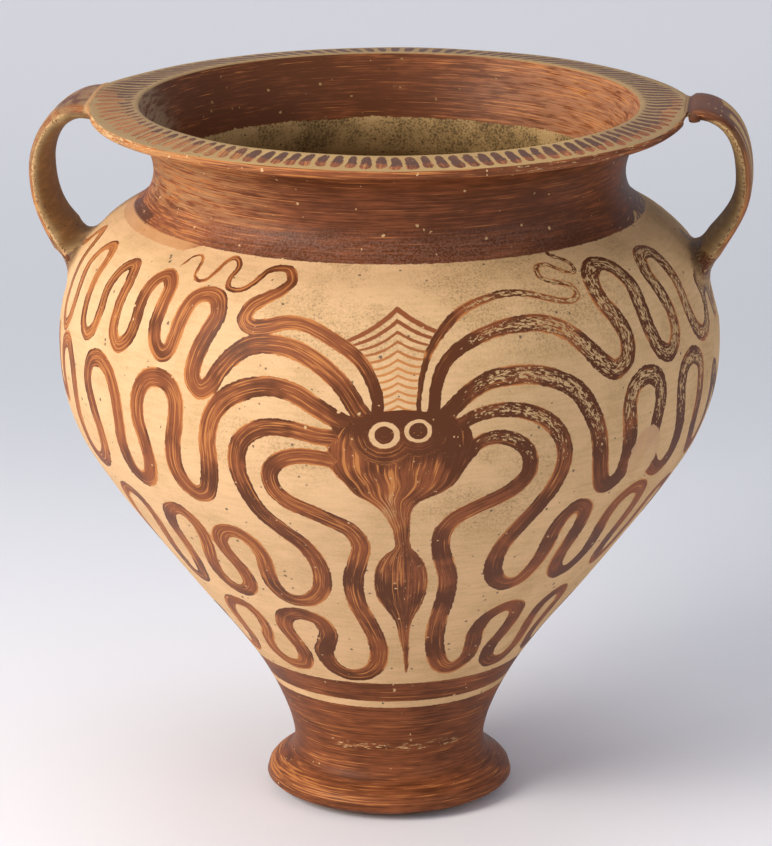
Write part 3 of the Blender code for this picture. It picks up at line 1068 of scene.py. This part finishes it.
def fields_group():
    """The uneven fields that every finish of the clay shares."""
    tree, g, given, out = new_group(
        "clay fields", (),
        ("Cloud", "Level", "Grain", "Crisp", "Wiped", "Near", "Seed", "Kind"), vectors=("Point",))
    point = given["Point"]
    cloud = g.noise(point, 32.0, 3.0, 0.6)
    grain = g.noise(point, 900.0, 2.0, 0.8)
    wiped = g.noise(g.stretched(point, 1.0, 1.0, 8.0), 75.0, 2.0, 0.65)
    cells = g.node("ShaderNodeTexVoronoi", {"Vector": point, "Scale": 330.0})
    to_cell = Value(g, cells.outputs["Distance"])
    luck = g.node("ShaderNodeSeparateColor", {"Color": Value(g, cells.outputs["Color"])})
    g.put(out["Cloud"], cloud)
    g.put(out["Level"], (wiped - 0.5) * 0.36 + 0.5 + (cloud - 0.5) * 0.28)
    g.put(out["Grain"], grain)
    g.put(out["Crisp"], g.noise(point, 400.0, 1.0, 0.6) - 0.5)
    g.put(out["Wiped"], wiped)
    g.put(out["Near"], to_cell + (grain - 0.5) * 0.55)
    g.put(out["Seed"], Value(g, luck.outputs[0]))
    g.put(out["Kind"], Value(g, luck.outputs[1]))
    return tree


def speck(near, seed, amount):
    """1 on specks, of which a few are large; the amount is the largest radius in cells."""
    return (near - (seed ** 4.0 * amount - 0.03)).step(0.03, -0.02)


def slip_group(colours):
    """Cream slip: clouded, finely wiped, mottled and speckled."""
    tree, g, given, out = new_group(
        "cream slip",
        ("Cloud", "Grain", "Wiped", "Near", "Seed", "Kind", "Shade", "Mottle", "Specks"),
        ("Relief",), colours=("Colour",))
    cloud, grain, wiped = given["Cloud"], given["Grain"], given["Wiped"]
    dull = cloud.step(0.36, 0.7) * 0.32 + wiped.step(0.35, 0.72) * 0.24
    dull += (grain - 0.5) * 0.5
    dull = g.math("ADD", dull, given["Shade"], clamp=True)
    colour = g.mix(dull, colours.slip, colours.slip_shade)
    soot = grain.step(0.44, 0.76) * cloud.step(0.36, 0.6) * given["Mottle"] * 0.6
    colour = g.mix(soot, colour, SOOT)
    dots = speck(given["Near"], given["Seed"], given["Specks"]) * given["Kind"].step(0.5, 0.46)
    g.put(out["Colour"], g.mix(dots * 0.8, colour, colours.dirt))
    g.put(out["Relief"], wiped * 0.5 + grain * 0.3)
    return tree


def paint_group(colours):
    """Brushed paint: x of the stroke vector runs along the brush, y and z across it, in mm."""
    tree, g, given, out = new_group(
        "brushed paint", ("Cloud", "Near", "Seed", "Kind", "Dark", "Thin", "Worn"),
        ("Gloss", "Bare"), vectors=("Stroke",), colours=("Colour",))
    stroke, dark, thin = given["Stroke"], given["Dark"], given["Thin"]
    fine = g.noise(g.stretched(stroke, 0.03, 1.0, 1.0), 1.25, 2.0, 0.75)
    crumbs = g.noise(g.stretched(stroke, 0.34, 1.0, 1.0), 1.05, 2.0, 0.75)
    swell = (given["Cloud"] - 0.5) * 2.0
    tone = swell * 1.7 + ((fine - 0.5) * 1.7 + 0.5) + thin * 0.4 - dark * 0.7
    colour = g.mix(tone.step(0.0, 0.8), colours.paint_dark, colours.paint)
    lift = thin * 0.17 + swell * 0.13 - dark * 0.1
    light = (fine + lift).step(0.6, 0.67)
    colour = g.mix(light * 0.8, colour, colours.paint_thin)
    deep = (fine - (dark * 0.04 + swell * 0.08)).step(0.4, 0.34)
    bare = (crumbs + swell * 0.05 + given["Worn"] * 0.85).step(0.77, 0.82)
    chips = speck(given["Near"], given["Seed"], 0.27) * given["Kind"].step(0.62, 0.66)
    g.put(out["Colour"], g.mix(deep * 0.55, colour, colours.paint_dark))
    g.put(out["Gloss"], g.math("SUBTRACT", 1.05, tone * 0.5, clamp=True))
    g.put(out["Bare"], bare | chips)
    return tree


def finish_material(g, colour, gloss, relief, distance):
    """The shader itself: fired clay, glossier where the paint is thick."""
    values = {"Strength": 0.55, "Distance": distance, "Height": relief}
    shader = g.tree.nodes["Principled BSDF"]
    g.put(shader.inputs["Base Color"], colour)
    g.put(shader.inputs["Roughness"], 0.72 - gloss * 0.26)
    g.put(shader.inputs["Normal"], g.output("ShaderNodeBump", "Normal", values))
    shader.inputs["Specular IOR Level"].default_value = 0.16


def new_material(name):
    made = bpy.data.materials.new(name)
    made.use_nodes = True
    return made, Graph(made.node_tree)


def surface(g, groups):
    """Where a shaded point lies on the vessel, and the uneven fields there."""
    point = g.output("ShaderNodeTexCoord", "Object")
    bearing, radius, height = g.group(groups["round"], point=point).values()
    fields = g.group(groups["fields"], point=point)
    return SimpleNamespace(
        point=point, bearing=bearing, radius=radius, height=height, fields=fields,
        cloud=fields["Cloud"], grain=fields["Grain"], crisp=fields["Crisp"], wiped=fields["Wiped"],
    )


def inside_stroke(across, half, away):
    """Depth inside a stroke in mm, kept low away from it so that no false line shows."""
    near = (away - half).step(2.4, 1.8)
    return (half - abs(across)) * near - (1.0 - near) * 6.0


def ellipse(g, at, centre, radii):
    """Distance from a centre on the wall, where 1 is the ellipse with these radii in mm."""
    x = (at.bearing - centre[0]) * (WALL_MM_PER_DEGREE / radii[0])
    y = (at.height - centre[1]) * (1 / radii[1])
    return g.math("SQRT", x * x + y * y)


def octopus_marks(g, at):
    """The octopus: depth inside its strokes in mm, and how the brush ran in them."""
    odd, even = g.attribute("arms_odd"), g.attribute("arms_even")
    across, half, _ = g.attribute("figure")
    depth_odd, depth_even = inside_stroke(*odd), inside_stroke(*even)
    depth_arm = g.math("SMOOTH_MAX", depth_odd, depth_even, 1.0)
    depth_figure = half - abs(across)
    depth = g.math("SMOOTH_MAX", depth_arm, depth_figure, 3.0)
    use_odd = g.math("GREATER_THAN", depth_odd, depth_even)
    figure = (depth_figure - depth_arm).step(-0.8, 0.8)
    share = use_odd.blend(even[0] / even[1], odd[0] / odd[1])
    arm_brush = g.mix_vector(
        use_odd, g.vector(at.run_even, even[0], 9.0), g.vector(at.run_odd, odd[0], 3.0))

    rings = []
    for eye_bearing, eye_height, *radii in EYES:
        centre = (eye_bearing, eye_height)
        uneven = at.crisp * 0.16
        rings.append((ellipse(g, at, centre, radii[:2]) + uneven,
                      ellipse(g, at, centre, radii[2:]) + uneven))
    to_eye = g.math("MINIMUM", rings[0][0], rings[1][0])
    fold = across / (half | 2.5)
    folds = g.vector(at.height, fold * 11.0, 5.0)
    arcs = g.vector(at.bearing * 0.8, to_eye * 4.0, 5.0)
    under_eye = to_eye.step(2.3, 1.9) * at.height.step(229.0, 224.0)
    brush = g.mix_vector(figure, arm_brush, g.mix_vector(under_eye, folds, arcs))
    return SimpleNamespace(
        depth=depth, painted=(depth + at.crisp * 1.2).step(-0.14, 0.14), figure=figure,
        core=g.math("SUBTRACT", 1.0, share * share, clamp=True), rings=rings, fold=fold,
        first=use_odd.blend(at.run_even, at.run_odd).step(75.0, 15.0), brush=brush,
        crown=at.height.step(221.0, 229.0),
        pupils=rings[0][1].step(1.1, 1.0) | rings[1][1].step(1.1, 1.0),
    )


def chevron_marks(g, at, octopus):
    """The chevrons above the head, and which of them each is."""
    row, inside, _ = g.attribute("fan")
    to_line = abs(g.math("FRACT", row + 40.5) - 0.5)
    line_half = 0.165 + row.step(2.2, -0.3) * 0.12
    fan = (line_half - to_line + at.crisp * 0.14).step(-0.05, 0.05)
    fan *= inside.step(-2.0, -0.5)
    fan *= row.within(-0.42, len(FAN_APEXES) - 0.6, 0.02)
    return fan * (1.0 - octopus.painted), row


def band_marks(at):
    """The bands on neck, base and foot, the lip and two marks under the neck's band."""
    at_left = at.bearing.step(-38.0, -44.0)
    uneven = at.height + at.crisp * 0.7
    neck = (uneven - (NECK_BAND_LOW - at_left * 3.2)).step(-0.15, 0.15)
    base = uneven.within(*BASE_BAND, 0.15)
    foot = uneven.step(FOOT_PAINT_TOP + 0.15, FOOT_PAINT_TOP - 0.15)
    lip = at.radius.step(138.0, 140.5) * at.height.step(334.6, 336.0)
    blot = (at.bearing + at.crisp * 9.0).within(-85.0, -64.0, 0.5)
    blot *= uneven.within(290.3, 297.0, 0.4)
    return SimpleNamespace(
        neck=neck, low=base | foot, painted=(neck | base | foot) * at.off_strap,
        lip=lip * at.off_strap, blot=blot * at.off_strap,
        hem=neck * at.height.step(293.9, 292.9) * at_left,
    )


def strap_marks(g, at):
    """The stripes, edges and patches on a strap."""
    run, across, out = at.strap
    crisp, wave = at.crisp, at.cloud - 0.5
    stripe = g.math("SINE", across * 8.4 + run * 2.4)
    near_edge = (across + crisp * 0.06).within(-0.9, -0.76, 0.02)
    stripes = stripe.step(0.05, 0.25) * across.step(-0.72, -0.66) | near_edge
    border = (out + crisp * 0.3).step(0.1, 0.18) * across.step(-0.8, -0.9) * run.step(0.8, 0.72)
    cap_end = 0.215 + (across * -0.02 + crisp * 0.08)
    on_top = (out + run.step(0.22, 0.12) * 0.5).step(0.1, 0.4)
    cap = (run + (wave * 0.34 + crisp * 0.1)).step(cap_end + 0.006, cap_end) * on_top
    ridge = (out + crisp * 0.5).within(-0.22, 0.1, 0.06)
    ridge = ridge * across.step(-0.6, -0.8) * at.grain.step(0.5, 0.56)
    root = (run + wave * 0.2).step(0.77, 0.79) * across.step(0.2, -0.2)
    painted = stripes * out.step(0.15, 0.45) | cap | (ridge * 0.8 | root) | border * 0.85
    return SimpleNamespace(
        painted=painted * at.cover, near_edge=near_edge, border=border, root=root,
        dark=cap * 0.45 + root + ridge * 0.8, brush=g.vector(run * 140.0, across * 21.0, 15.0),
    )


def paint_states(at, octopus, bands, strap):
    """How dark, how thin and how worn the paint is from place to place."""
    bearing, height = at.bearing, at.height
    figure, core, crown = octopus.figure, octopus.core, octopus.crown
    edge = octopus.depth.step(1.3, 0.3)
    orange_edge = edge * at.cloud.step(0.44, 0.54)
    faded = bearing.step(-38.0, -50.0) * height.step(232.0, 246.0)
    lip_front = bearing.within(-36.0, 24.0, 14.0)

    dark_arm = at.right * (0.3 + at.upper * 0.12) + octopus.first * 0.3
    dark_arm += (edge - orange_edge) * 0.3
    dark_figure = 0.36 + (crown | octopus.pupils) * 0.44
    dark_band = at.right * 0.1 + bearing.within(-26.0, 24.0, 16.0) * 0.18
    dark_band = dark_band * bands.neck + bands.low * 0.14
    dark = bands.painted.blend(figure.blend(dark_arm, dark_figure), dark_band)
    dark = at.cover.blend(dark, 0.25 + strap.dark) | bands.blot * 1.1

    thin_arm = (1.0 - at.right) * (0.17 + core * 0.2)
    thin_arm += orange_edge * 0.65 + faded * core * 0.7
    thin_figure = (1.0 - crown) * (0.24 + octopus.fold.step(0.2, -0.1) * 0.4)
    thin_neck = at.far_left * 0.75 - (at.right + height.step(318.0, 304.0)) * 0.3
    thin = figure.blend(thin_arm, thin_figure) * (1.0 - bands.painted)
    thin += bands.neck * thin_neck
    thin += bands.lip * (0.42 + lip_front * 0.22)
    thin *= at.off_strap
    thin += at.cover * (strap.near_edge * 0.6 | strap.border * 0.35)
    thin += height.within(9.0, 15.0, 1.5) * bearing.step(44.0, -20.0) * 0.75

    worn_arm = at.right * at.upper * bearing.step(13.0, 22.0)
    worn_arm *= 0.08 + core * 0.26
    worn_arm += faded * core * 0.12
    worn = figure.blend(worn_arm, 0.1 - crown * 0.06) + 0.02
    worn *= 1.0 - bands.painted
    worn += bands.neck * bearing.step(-22.0, -60.0) * 0.1
    worn += bands.neck * (bearing.step(52.0, 80.0) * height.step(300.0, 294.0)) * 0.26
    worn += bands.lip * (1.0 - lip_front) * 0.2
    rubbed = height.within(32.0, 37.0, 1.0) * bearing.within(-34.0, 56.0, 6.0)
    worn += (height.step(6.0, 2.0) | rubbed) * 0.22
    return dark, thin, at.cover.blend(worn, 0.08 + strap.root * 0.2)


def painted_colour(g, at, colours, slip, paint, octopus, bands, fringe):
    """The paint's colour, with its films, its dull places and its thin edges."""
    film = bands.neck * at.bearing.within(-62.0, 50.0, 24.0) * at.height.step(311.0, 297.0)
    film *= at.grain.step(0.42, 0.62)
    dull = bands.neck * at.far_left * at.height.step(298.0, 308.0) * at.wiped.step(0.38, 0.62)
    hem_colour = g.mix(0.55, colours.paint_thin, slip["Colour"])
    tan = octopus.figure * (1.0 - octopus.crown) * paint["Gloss"].step(0.6, 0.3)
    colour = paint["Colour"]
    for share, over in (
        (film * 0.34, BAND_FILM), (dull * 0.55, BAND_DULL),
        (fringe * 0.8, colours.paint_thin), (bands.hem * 0.9, hem_colour),
        (tan * 0.5, slip["Colour"]),
    ):
        colour = g.mix(share, colour, over)
    return colour


def outside_material(colours, groups):
    """Slip, octopus, bands and straps on the outside."""
    made, g = new_material("painted outside")
    at = surface(g, groups)
    bearing, height, crisp = at.bearing, at.height, at.crisp
    at.run_odd, at.run_even, at.cover = g.attribute("runs")
    at.strap = g.attribute("strap")
    at.off_strap = 1.0 - at.cover
    at.right = bearing.step(-6.0, 34.0)
    at.far_left = bearing.step(-10.0, -50.0)
    at.upper = height.step(188.0, 232.0)

    mottle = bearing.within(-16.0, 60.0, 12.0) * height.within(258.0, 298.0, 10.0)
    mottle |= bearing.within(-22.0, -4.0, 6.0) * height.within(203.0, 228.0, 8.0)
    mottle |= bearing.within(14.0, 34.0, 6.0) * height.within(174.0, 216.0, 10.0)
    inner_face = at.strap[2].step(0.1, -0.3)
    # How dull the slip is. Duller over the right half and lighter at the far left: partly the
    # slip's own uneven tone, partly painted shade on the side turned from the key light and
    # painted light on the side turned to it. A little darker towards the foot.
    shade = at.right * 0.22 + height.step(120.0, 60.0) * 0.06
    shade -= at.far_left * 0.06
    # The straps' clay is duller. On their inner faces, turned towards the wall, it is darker
    # still: painted shade.
    shade += at.cover * (0.5 + inner_face * 0.45)
    slip = g.group(
        groups["slip"], at.fields, shade=shade, mottle=0.2 + (mottle | at.cover * 0.5), specks=0.3)

    octopus = octopus_marks(g, at)
    fan, fan_row = chevron_marks(g, at, octopus)
    bands = band_marks(at)
    strap = strap_marks(g, at)
    dark, thin, worn = paint_states(at, octopus, bands, strap)
    brush = g.mix_vector(bands.painted, octopus.brush, g.stretched(at.point, *WHEEL_BRUSH))
    brush = g.mix_vector(at.cover, brush, strap.brush)
    fields = {**at.fields, "Cloud": bands.painted.blend(at.cloud, at.fields["Level"])}
    paint = g.group(groups["paint"], fields, stroke=brush, dark=dark, thin=thin, worn=worn)
    fringe = octopus.depth.step(0.5, 0.1) * at.cloud.step(0.46, 0.54)
    fringe *= octopus.painted * (1.0 - bands.painted)
    colour_paint = painted_colour(g, at, colours, slip, paint, octopus, bands, fringe)
    colour_fan = g.mix(fan_row.step(1.0, 6.0), colours.paint, colours.paint_thin)
    colour_paint = g.mix(fan, colour_paint, colour_fan)

    covered = octopus.painted | fan | bands.painted
    covered = covered * at.off_strap | strap.painted | bands.blot
    keep = 1.0 - paint["Bare"] * (1.0 - fringe * 0.8)
    covered *= keep
    for ring, pupil in octopus.rings:
        covered *= 1.0 - ring.step(1.03, 0.97) * pupil.step(0.97, 1.03)
    ground = g.mix((1.0 - keep) * 0.3, slip["Colour"], colours.slip_shade)
    colour = g.mix(covered, ground, colour_paint)

    # Painted shade on the inner face of a strap, where it faces the wall, mottled like the strap's
    # duller clay.
    strap_inner_dull_and_shade = at.cover * inner_face * at.wiped.step(0.2, 0.6)
    colour = g.mix(strap_inner_dull_and_shade * 0.5, colour, STRAP_INNER_DULL_AND_SHADE)
    patch = (ellipse(g, at, *REPAIR) + crisp * 0.2).step(1.03, 0.97)
    plaster = g.mix(at.cloud.step(0.4, 0.62), colours.repair, colours.slip)
    plaster = g.mix((1.0 - at.wiped) * 0.85, plaster, colours.slip_shade)
    colour = g.mix(patch * 0.94, colour, plaster)

    thick = octopus.depth.step(-0.2, 0.3) | bands.painted
    relief = slip["Relief"] * 0.7 + thick * 0.15
    finish_material(g, colour, paint["Gloss"] * covered, relief, 0.0003)
    return made


def rim_material(colours, groups):
    """The rim's top: slip with a row of brush tongues."""
    made, g = new_material("painted rim")
    at = surface(g, groups)
    bearing, radius, crisp = at.bearing, at.radius, at.crisp
    slip = g.group(groups["slip"], at.fields, shade=0.9, mottle=0.9, specks=0.34)
    lean = (radius - 130.0) * g.math("SINE", g.math("RADIANS", bearing - 6.0)) * 0.17
    turn = (bearing + (at.cloud - 0.5) * 3.0 + lean) * (TONGUES / 360)
    which = g.math("FLOOR", turn)
    aside = abs(g.math("FRACT", turn) - 0.5)
    luck = g.output("ShaderNodeTexWhiteNoise", "Value", {"W": which}, noise_dimensions="1D")
    inner = 120.4 + luck * 1.2
    outer = 138.0 + luck * 2.0
    share = (radius - inner) / (outer - inner)
    blade = 0.27 + bearing.within(-50.0, 70.0, 20.0) * 0.04 + share.step(0.0, 0.7) * 0.08
    tip = (abs(share - 0.5) - 0.28) | 0.0
    round_tip = g.math("SQRT", g.math("SUBTRACT", 1.0, tip * tip * 20.6, clamp=True))
    half = blade * round_tip + (luck - 0.5) * 0.06
    tongue = (half - aside + crisp * 0.16).step(-0.03, 0.05)
    tongue *= share.within(0.0, 1.0, 0.03)

    front_left = bearing.within(-92.0, -26.0, 14.0)
    dark_end = 0.62 + luck * 0.12 + crisp * 0.5
    dark_end -= front_left * 0.34
    inner_half = share.step(dark_end, dark_end - 0.1)
    behind = 1.0 - bearing.within(-96.0, 96.0, 12.0)
    paint = g.group(
        groups["paint"], at.fields, stroke=g.vector(radius, turn * 7.0, luck * 9.0),
        dark=inner_half * 0.55 + behind * 0.6, worn=0.05 + behind * 0.1,
        thin=(1.0 - inner_half) * 0.25 + front_left * 0.3)
    colour_paint = g.mix((inner_half | behind) * 0.7, paint["Colour"], TONGUE_DARK)
    faint = 1.0 + (inner_half - 1.0) * (front_left * 0.22)
    tongue = tongue * faint * (1.0 - paint["Bare"])
    film = 1.0 - bearing.within(-36.0, 52.0, 16.0)
    ground = g.mix(film * 0.4, slip["Colour"], RIM_FILM)
    colour = g.mix(tongue, ground, colour_paint)
    finish_material(g, colour, tongue * 0.8, slip["Relief"], 0.0003)
    return made


def inside_material(colours, groups):
    """A painted band below the mouth and stained slip under it."""
    made, g = new_material("painted inside")
    at = surface(g, groups)
    height, cloud, crisp = at.height, at.cloud, at.crisp
    x_side, y_side, _ = g.parts(at.point)
    slip = g.group(groups["slip"], at.fields, shade=0.8, mottle=1.0, specks=0.36)
    uneven = (cloud - 0.5) * 4.0 + crisp * 2.0
    band = (height + uneven).step(INSIDE_BAND_LOW - 0.3, INSIDE_BAND_LOW + 0.3)
    to_right = x_side.step(-0.01, 0.09)
    thin = to_right * 0.4 + height.step(334.0, 341.0) * 0.25
    paint = g.group(
        groups["paint"], {**at.fields, "Cloud": at.fields["Level"]},
        stroke=g.stretched(at.point, *INSIDE_BRUSH), dark=(1.0 - to_right) * 0.6, thin=thin,
        worn=0.0)
    dust = x_side.step(0.01, 0.09) * at.wiped.step(0.3, 0.62)
    band_colour = g.mix(dust * 0.45, paint["Colour"], BAND_DUST)
    worn = x_side.step(-0.094, -0.106) * y_side.within(-0.045, 0.022, 0.014)
    worn *= at.wiped.step(0.36, 0.6)
    band_colour = g.mix(worn * 0.75, band_colour, BAND_WORN)
    band *= 1.0 - paint["Bare"] * 0.7
    stain = (cloud + crisp * 0.25).step(0.42, 0.62)
    blots = (at.grain + (cloud - 0.5) * 0.7).step(0.5, 0.64)
    under = g.mix(0.1 + stain * 0.3, slip["Colour"], INSIDE_STAIN)
    under = g.mix(blots * 0.66, under, INSIDE_BLOTS)
    colour = g.mix(band, under, band_colour)
    finish_material(g, colour, band * 0.8, slip["Relief"], 0.0004)
    return made


def underside_material(colours, groups):
    """Bare and worn clay under the foot, painted up its edge."""
    made, g = new_material("bare underside")
    at = surface(g, groups)
    slip = g.group(groups["slip"], at.fields, shade=0.6, mottle=0.7, specks=0.34)
    stroke = g.stretched(at.point, *WHEEL_BRUSH)
    paint = g.group(groups["paint"], at.fields, stroke=stroke, dark=0.3, thin=0.2, worn=0.12)
    edge = at.radius.step(50.5, 52.5) * (1.0 - paint["Bare"])
    colour = g.mix(edge, slip["Colour"], paint["Colour"])
    finish_material(g, colour, edge, slip["Relief"], 0.0004)
    return made


class KRATER_OT_vessel(bpy.types.Operator):
    """Turn the krater, lute on its straps and paint it"""

    bl_idname = "krater.vessel"
    bl_label = "Build Krater"

    def execute(self, context):
        sizes = context.scene.krater_sizes
        straps = context.scene.krater_straps
        colours = context.scene.krater_colours
        groups = {
            "round": round_group(), "fields": fields_group(), "slip": slip_group(colours),
            "paint": paint_group(colours),
        }
        body_shape = turn_body(sizes)
        trees = {"body": BVHTree.FromBMesh(body_shape)}
        added = [as_object(make_lump(), "lump")]
        for side in (-1, 1):
            shape = make_strap(straps, sizes, side)
            trees[side] = BVHTree.FromBMesh(shape)
            added.append(as_object(shape, "strap"))
        body = as_object(body_shape, PIECE)
        for material in (
            outside_material(colours, groups), rim_material(colours, groups),
            inside_material(colours, groups), underside_material(colours, groups),
        ):
            body.data.materials.append(material)
        join_shapes(body, added)
        shape = bmesh.new()
        shape.from_mesh(body.data)
        soften_joins(shape, trees, 0.010, 26)
        refine_front(shape, outer_wall(sizes, 0.001), 0.074, 0.297, 80)
        shape.normal_update()
        roughen(shape, 0.00035, 22)
        for face in shape.faces:
            face.smooth = True
        shape.to_mesh(body.data)
        shape.free()
        lay_paint(body.data, sizes, straps)
        raise_rim(body.data, straps)
        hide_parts(NODE)
        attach(body, BODY)
        return {"FINISHED"}


def add_light(name, place, target, size, power, colour):
    """A soft square light that faces its target."""
    data = bpy.data.lights.new(name, "AREA")
    data.size = size
    data.energy = power
    data.color = colour
    made = bpy.data.objects.new(name, data)
    made.location = place
    made.rotation_euler = (Vector(target) - Vector(place)).to_track_quat("-Z", "Y").to_euler()
    bpy.context.scene.collection.objects.link(made)
    return made


# The longer side of the view, and how far the vessel's axis stands beside its middle
VIEW_PIXELS = 846
AXIS_ASIDE_PIXELS = 3.5


class KRATER_OT_stage(bpy.types.Operator):
    """Set up the paper sweep, the light and the camera"""

    bl_idname = "krater.stage"
    bl_label = "Set Up Stage"

    def execute(self, context):
        stage = context.scene.krater_stage
        shape = bmesh.new()
        bmesh.ops.create_grid(shape, x_segments=1, y_segments=1, size=4.0)
        back = [edge for edge in shape.edges if all(vert.co.y > 3 for vert in edge.verts)]
        raised = bmesh.ops.extrude_edge_only(shape, edges=back)
        tops = [item for item in raised["geom"] if isinstance(item, bmesh.types.BMVert)]
        bmesh.ops.translate(shape, verts=tops, vec=(0, 0, 4.0))
        for vert in shape.verts:
            if vert.co.y > 3:
                vert.co.y = 2.8
        bmesh.ops.bevel(
            shape, geom=back, offset=2.2, segments=32, profile=0.5, affect="EDGES", material=-1)
        for face in shape.faces:
            face.smooth = True
        sweep = as_object(shape, "paper_sweep")
        paper, g = new_material("paper")
        _, y, z = g.parts(g.output("ShaderNodeTexCoord", "Object"))
        # The paper is painted with light and shade. From the floor's colour it darkens to the
        # backdrop colour up the curve, where less light reaches it, and lightens again near the
        # top, where the sweep faces the lights.
        along = y + z
        wall = along.step(-0.1, 0.8) * (1.0 - along.step(0.8, 1.6) * 0.55)
        shader = g.tree.nodes["Principled BSDF"]
        g.put(shader.inputs["Base Color"], g.mix(wall, stage.floor_colour, stage.backdrop_shade_colour))
        shader.inputs["Roughness"].default_value = 0.8
        sweep.data.materials.append(paper)

        middle = (0, 0, 0.17)
        add_light("key", (-1.5, -1.2, 1.25), middle, 1.1, stage.key_power, (1.0, 0.95, 0.87))
        add_light("fill", (1.7, -1.1, 0.9), middle, 1.2, stage.fill_power, (0.96, 0.97, 1.0))
        add_light("top", (0.0, 0.2, 1.9), middle, 1.4, 9, (1.0, 0.98, 0.96))
        world = bpy.data.worlds.new("studio")
        world.use_nodes = True
        sky = world.node_tree.nodes["Background"]
        sky.inputs["Color"].default_value = (0.80, 0.84, 0.92, 1)
        sky.inputs["Strength"].default_value = stage.sky_strength
        context.scene.world = world
        context.scene.view_settings.view_transform = "Standard"

        data = bpy.data.cameras.new("camera")
        data.sensor_width = 36
        data.lens = stage.focal_pixels * data.sensor_width / VIEW_PIXELS
        data.shift_x = -AXIS_ASIDE_PIXELS / VIEW_PIXELS
        camera = bpy.data.objects.new("camera", data)
        turn = stage.camera_bearing
        camera.location = (
            stage.camera_distance * math.sin(turn), -stage.camera_distance * math.cos(turn),
            stage.camera_height,
        )
        look = Matrix.Rotation(turn, 4, "Z") @ Matrix.Rotation(
            math.pi / 2 - stage.camera_pitch, 4, "X")
        camera.rotation_euler = look.to_euler()
        context.scene.collection.objects.link(camera)
        context.scene.camera = camera
        return {"FINISHED"}


class KRATER_PT_panel(bpy.types.Panel):
    """Sizes, colours and steps of the krater"""

    bl_idname = "KRATER_PT_panel"
    bl_label = "Krater"
    bl_space_type = "VIEW_3D"
    bl_region_type = "UI"
    bl_category = "Krater"

    def draw(self, context):
        layout = self.layout
        for title, group in (
            ("Vessel", context.scene.krater_sizes), ("Straps", context.scene.krater_straps),
            ("Colours", context.scene.krater_colours), ("Stage", context.scene.krater_stage),
        ):
            box = layout.box()
            box.label(text=title)
            for name in group.bl_rna.properties.keys():
                if name not in ("rna_type", "name"):
                    box.prop(group, name)
        layout.operator(KRATER_OT_vessel.bl_idname)
        layout.operator(KRATER_OT_stage.bl_idname)


CLASSES = (
    VesselSizes, StrapSizes, ClayColours, StageSettings,
    KRATER_OT_vessel, KRATER_OT_stage, KRATER_PT_panel,
)


def register():
    for each in CLASSES:
        bpy.utils.register_class(each)
    bpy.types.Scene.krater_sizes = bpy.props.PointerProperty(type=VesselSizes)
    bpy.types.Scene.krater_straps = bpy.props.PointerProperty(type=StrapSizes)
    bpy.types.Scene.krater_colours = bpy.props.PointerProperty(type=ClayColours)
    bpy.types.Scene.krater_stage = bpy.props.PointerProperty(type=StageSettings)


def unregister():
    for name in ("krater_sizes", "krater_straps", "krater_colours", "krater_stage"):
        delattr(bpy.types.Scene, name)
    for each in reversed(CLASSES):
        bpy.utils.unregister_class(each)


def main():
    register()
    bpy.ops.krater.vessel()
    bpy.ops.krater.stage()


if __name__ == "__main__":
    main()
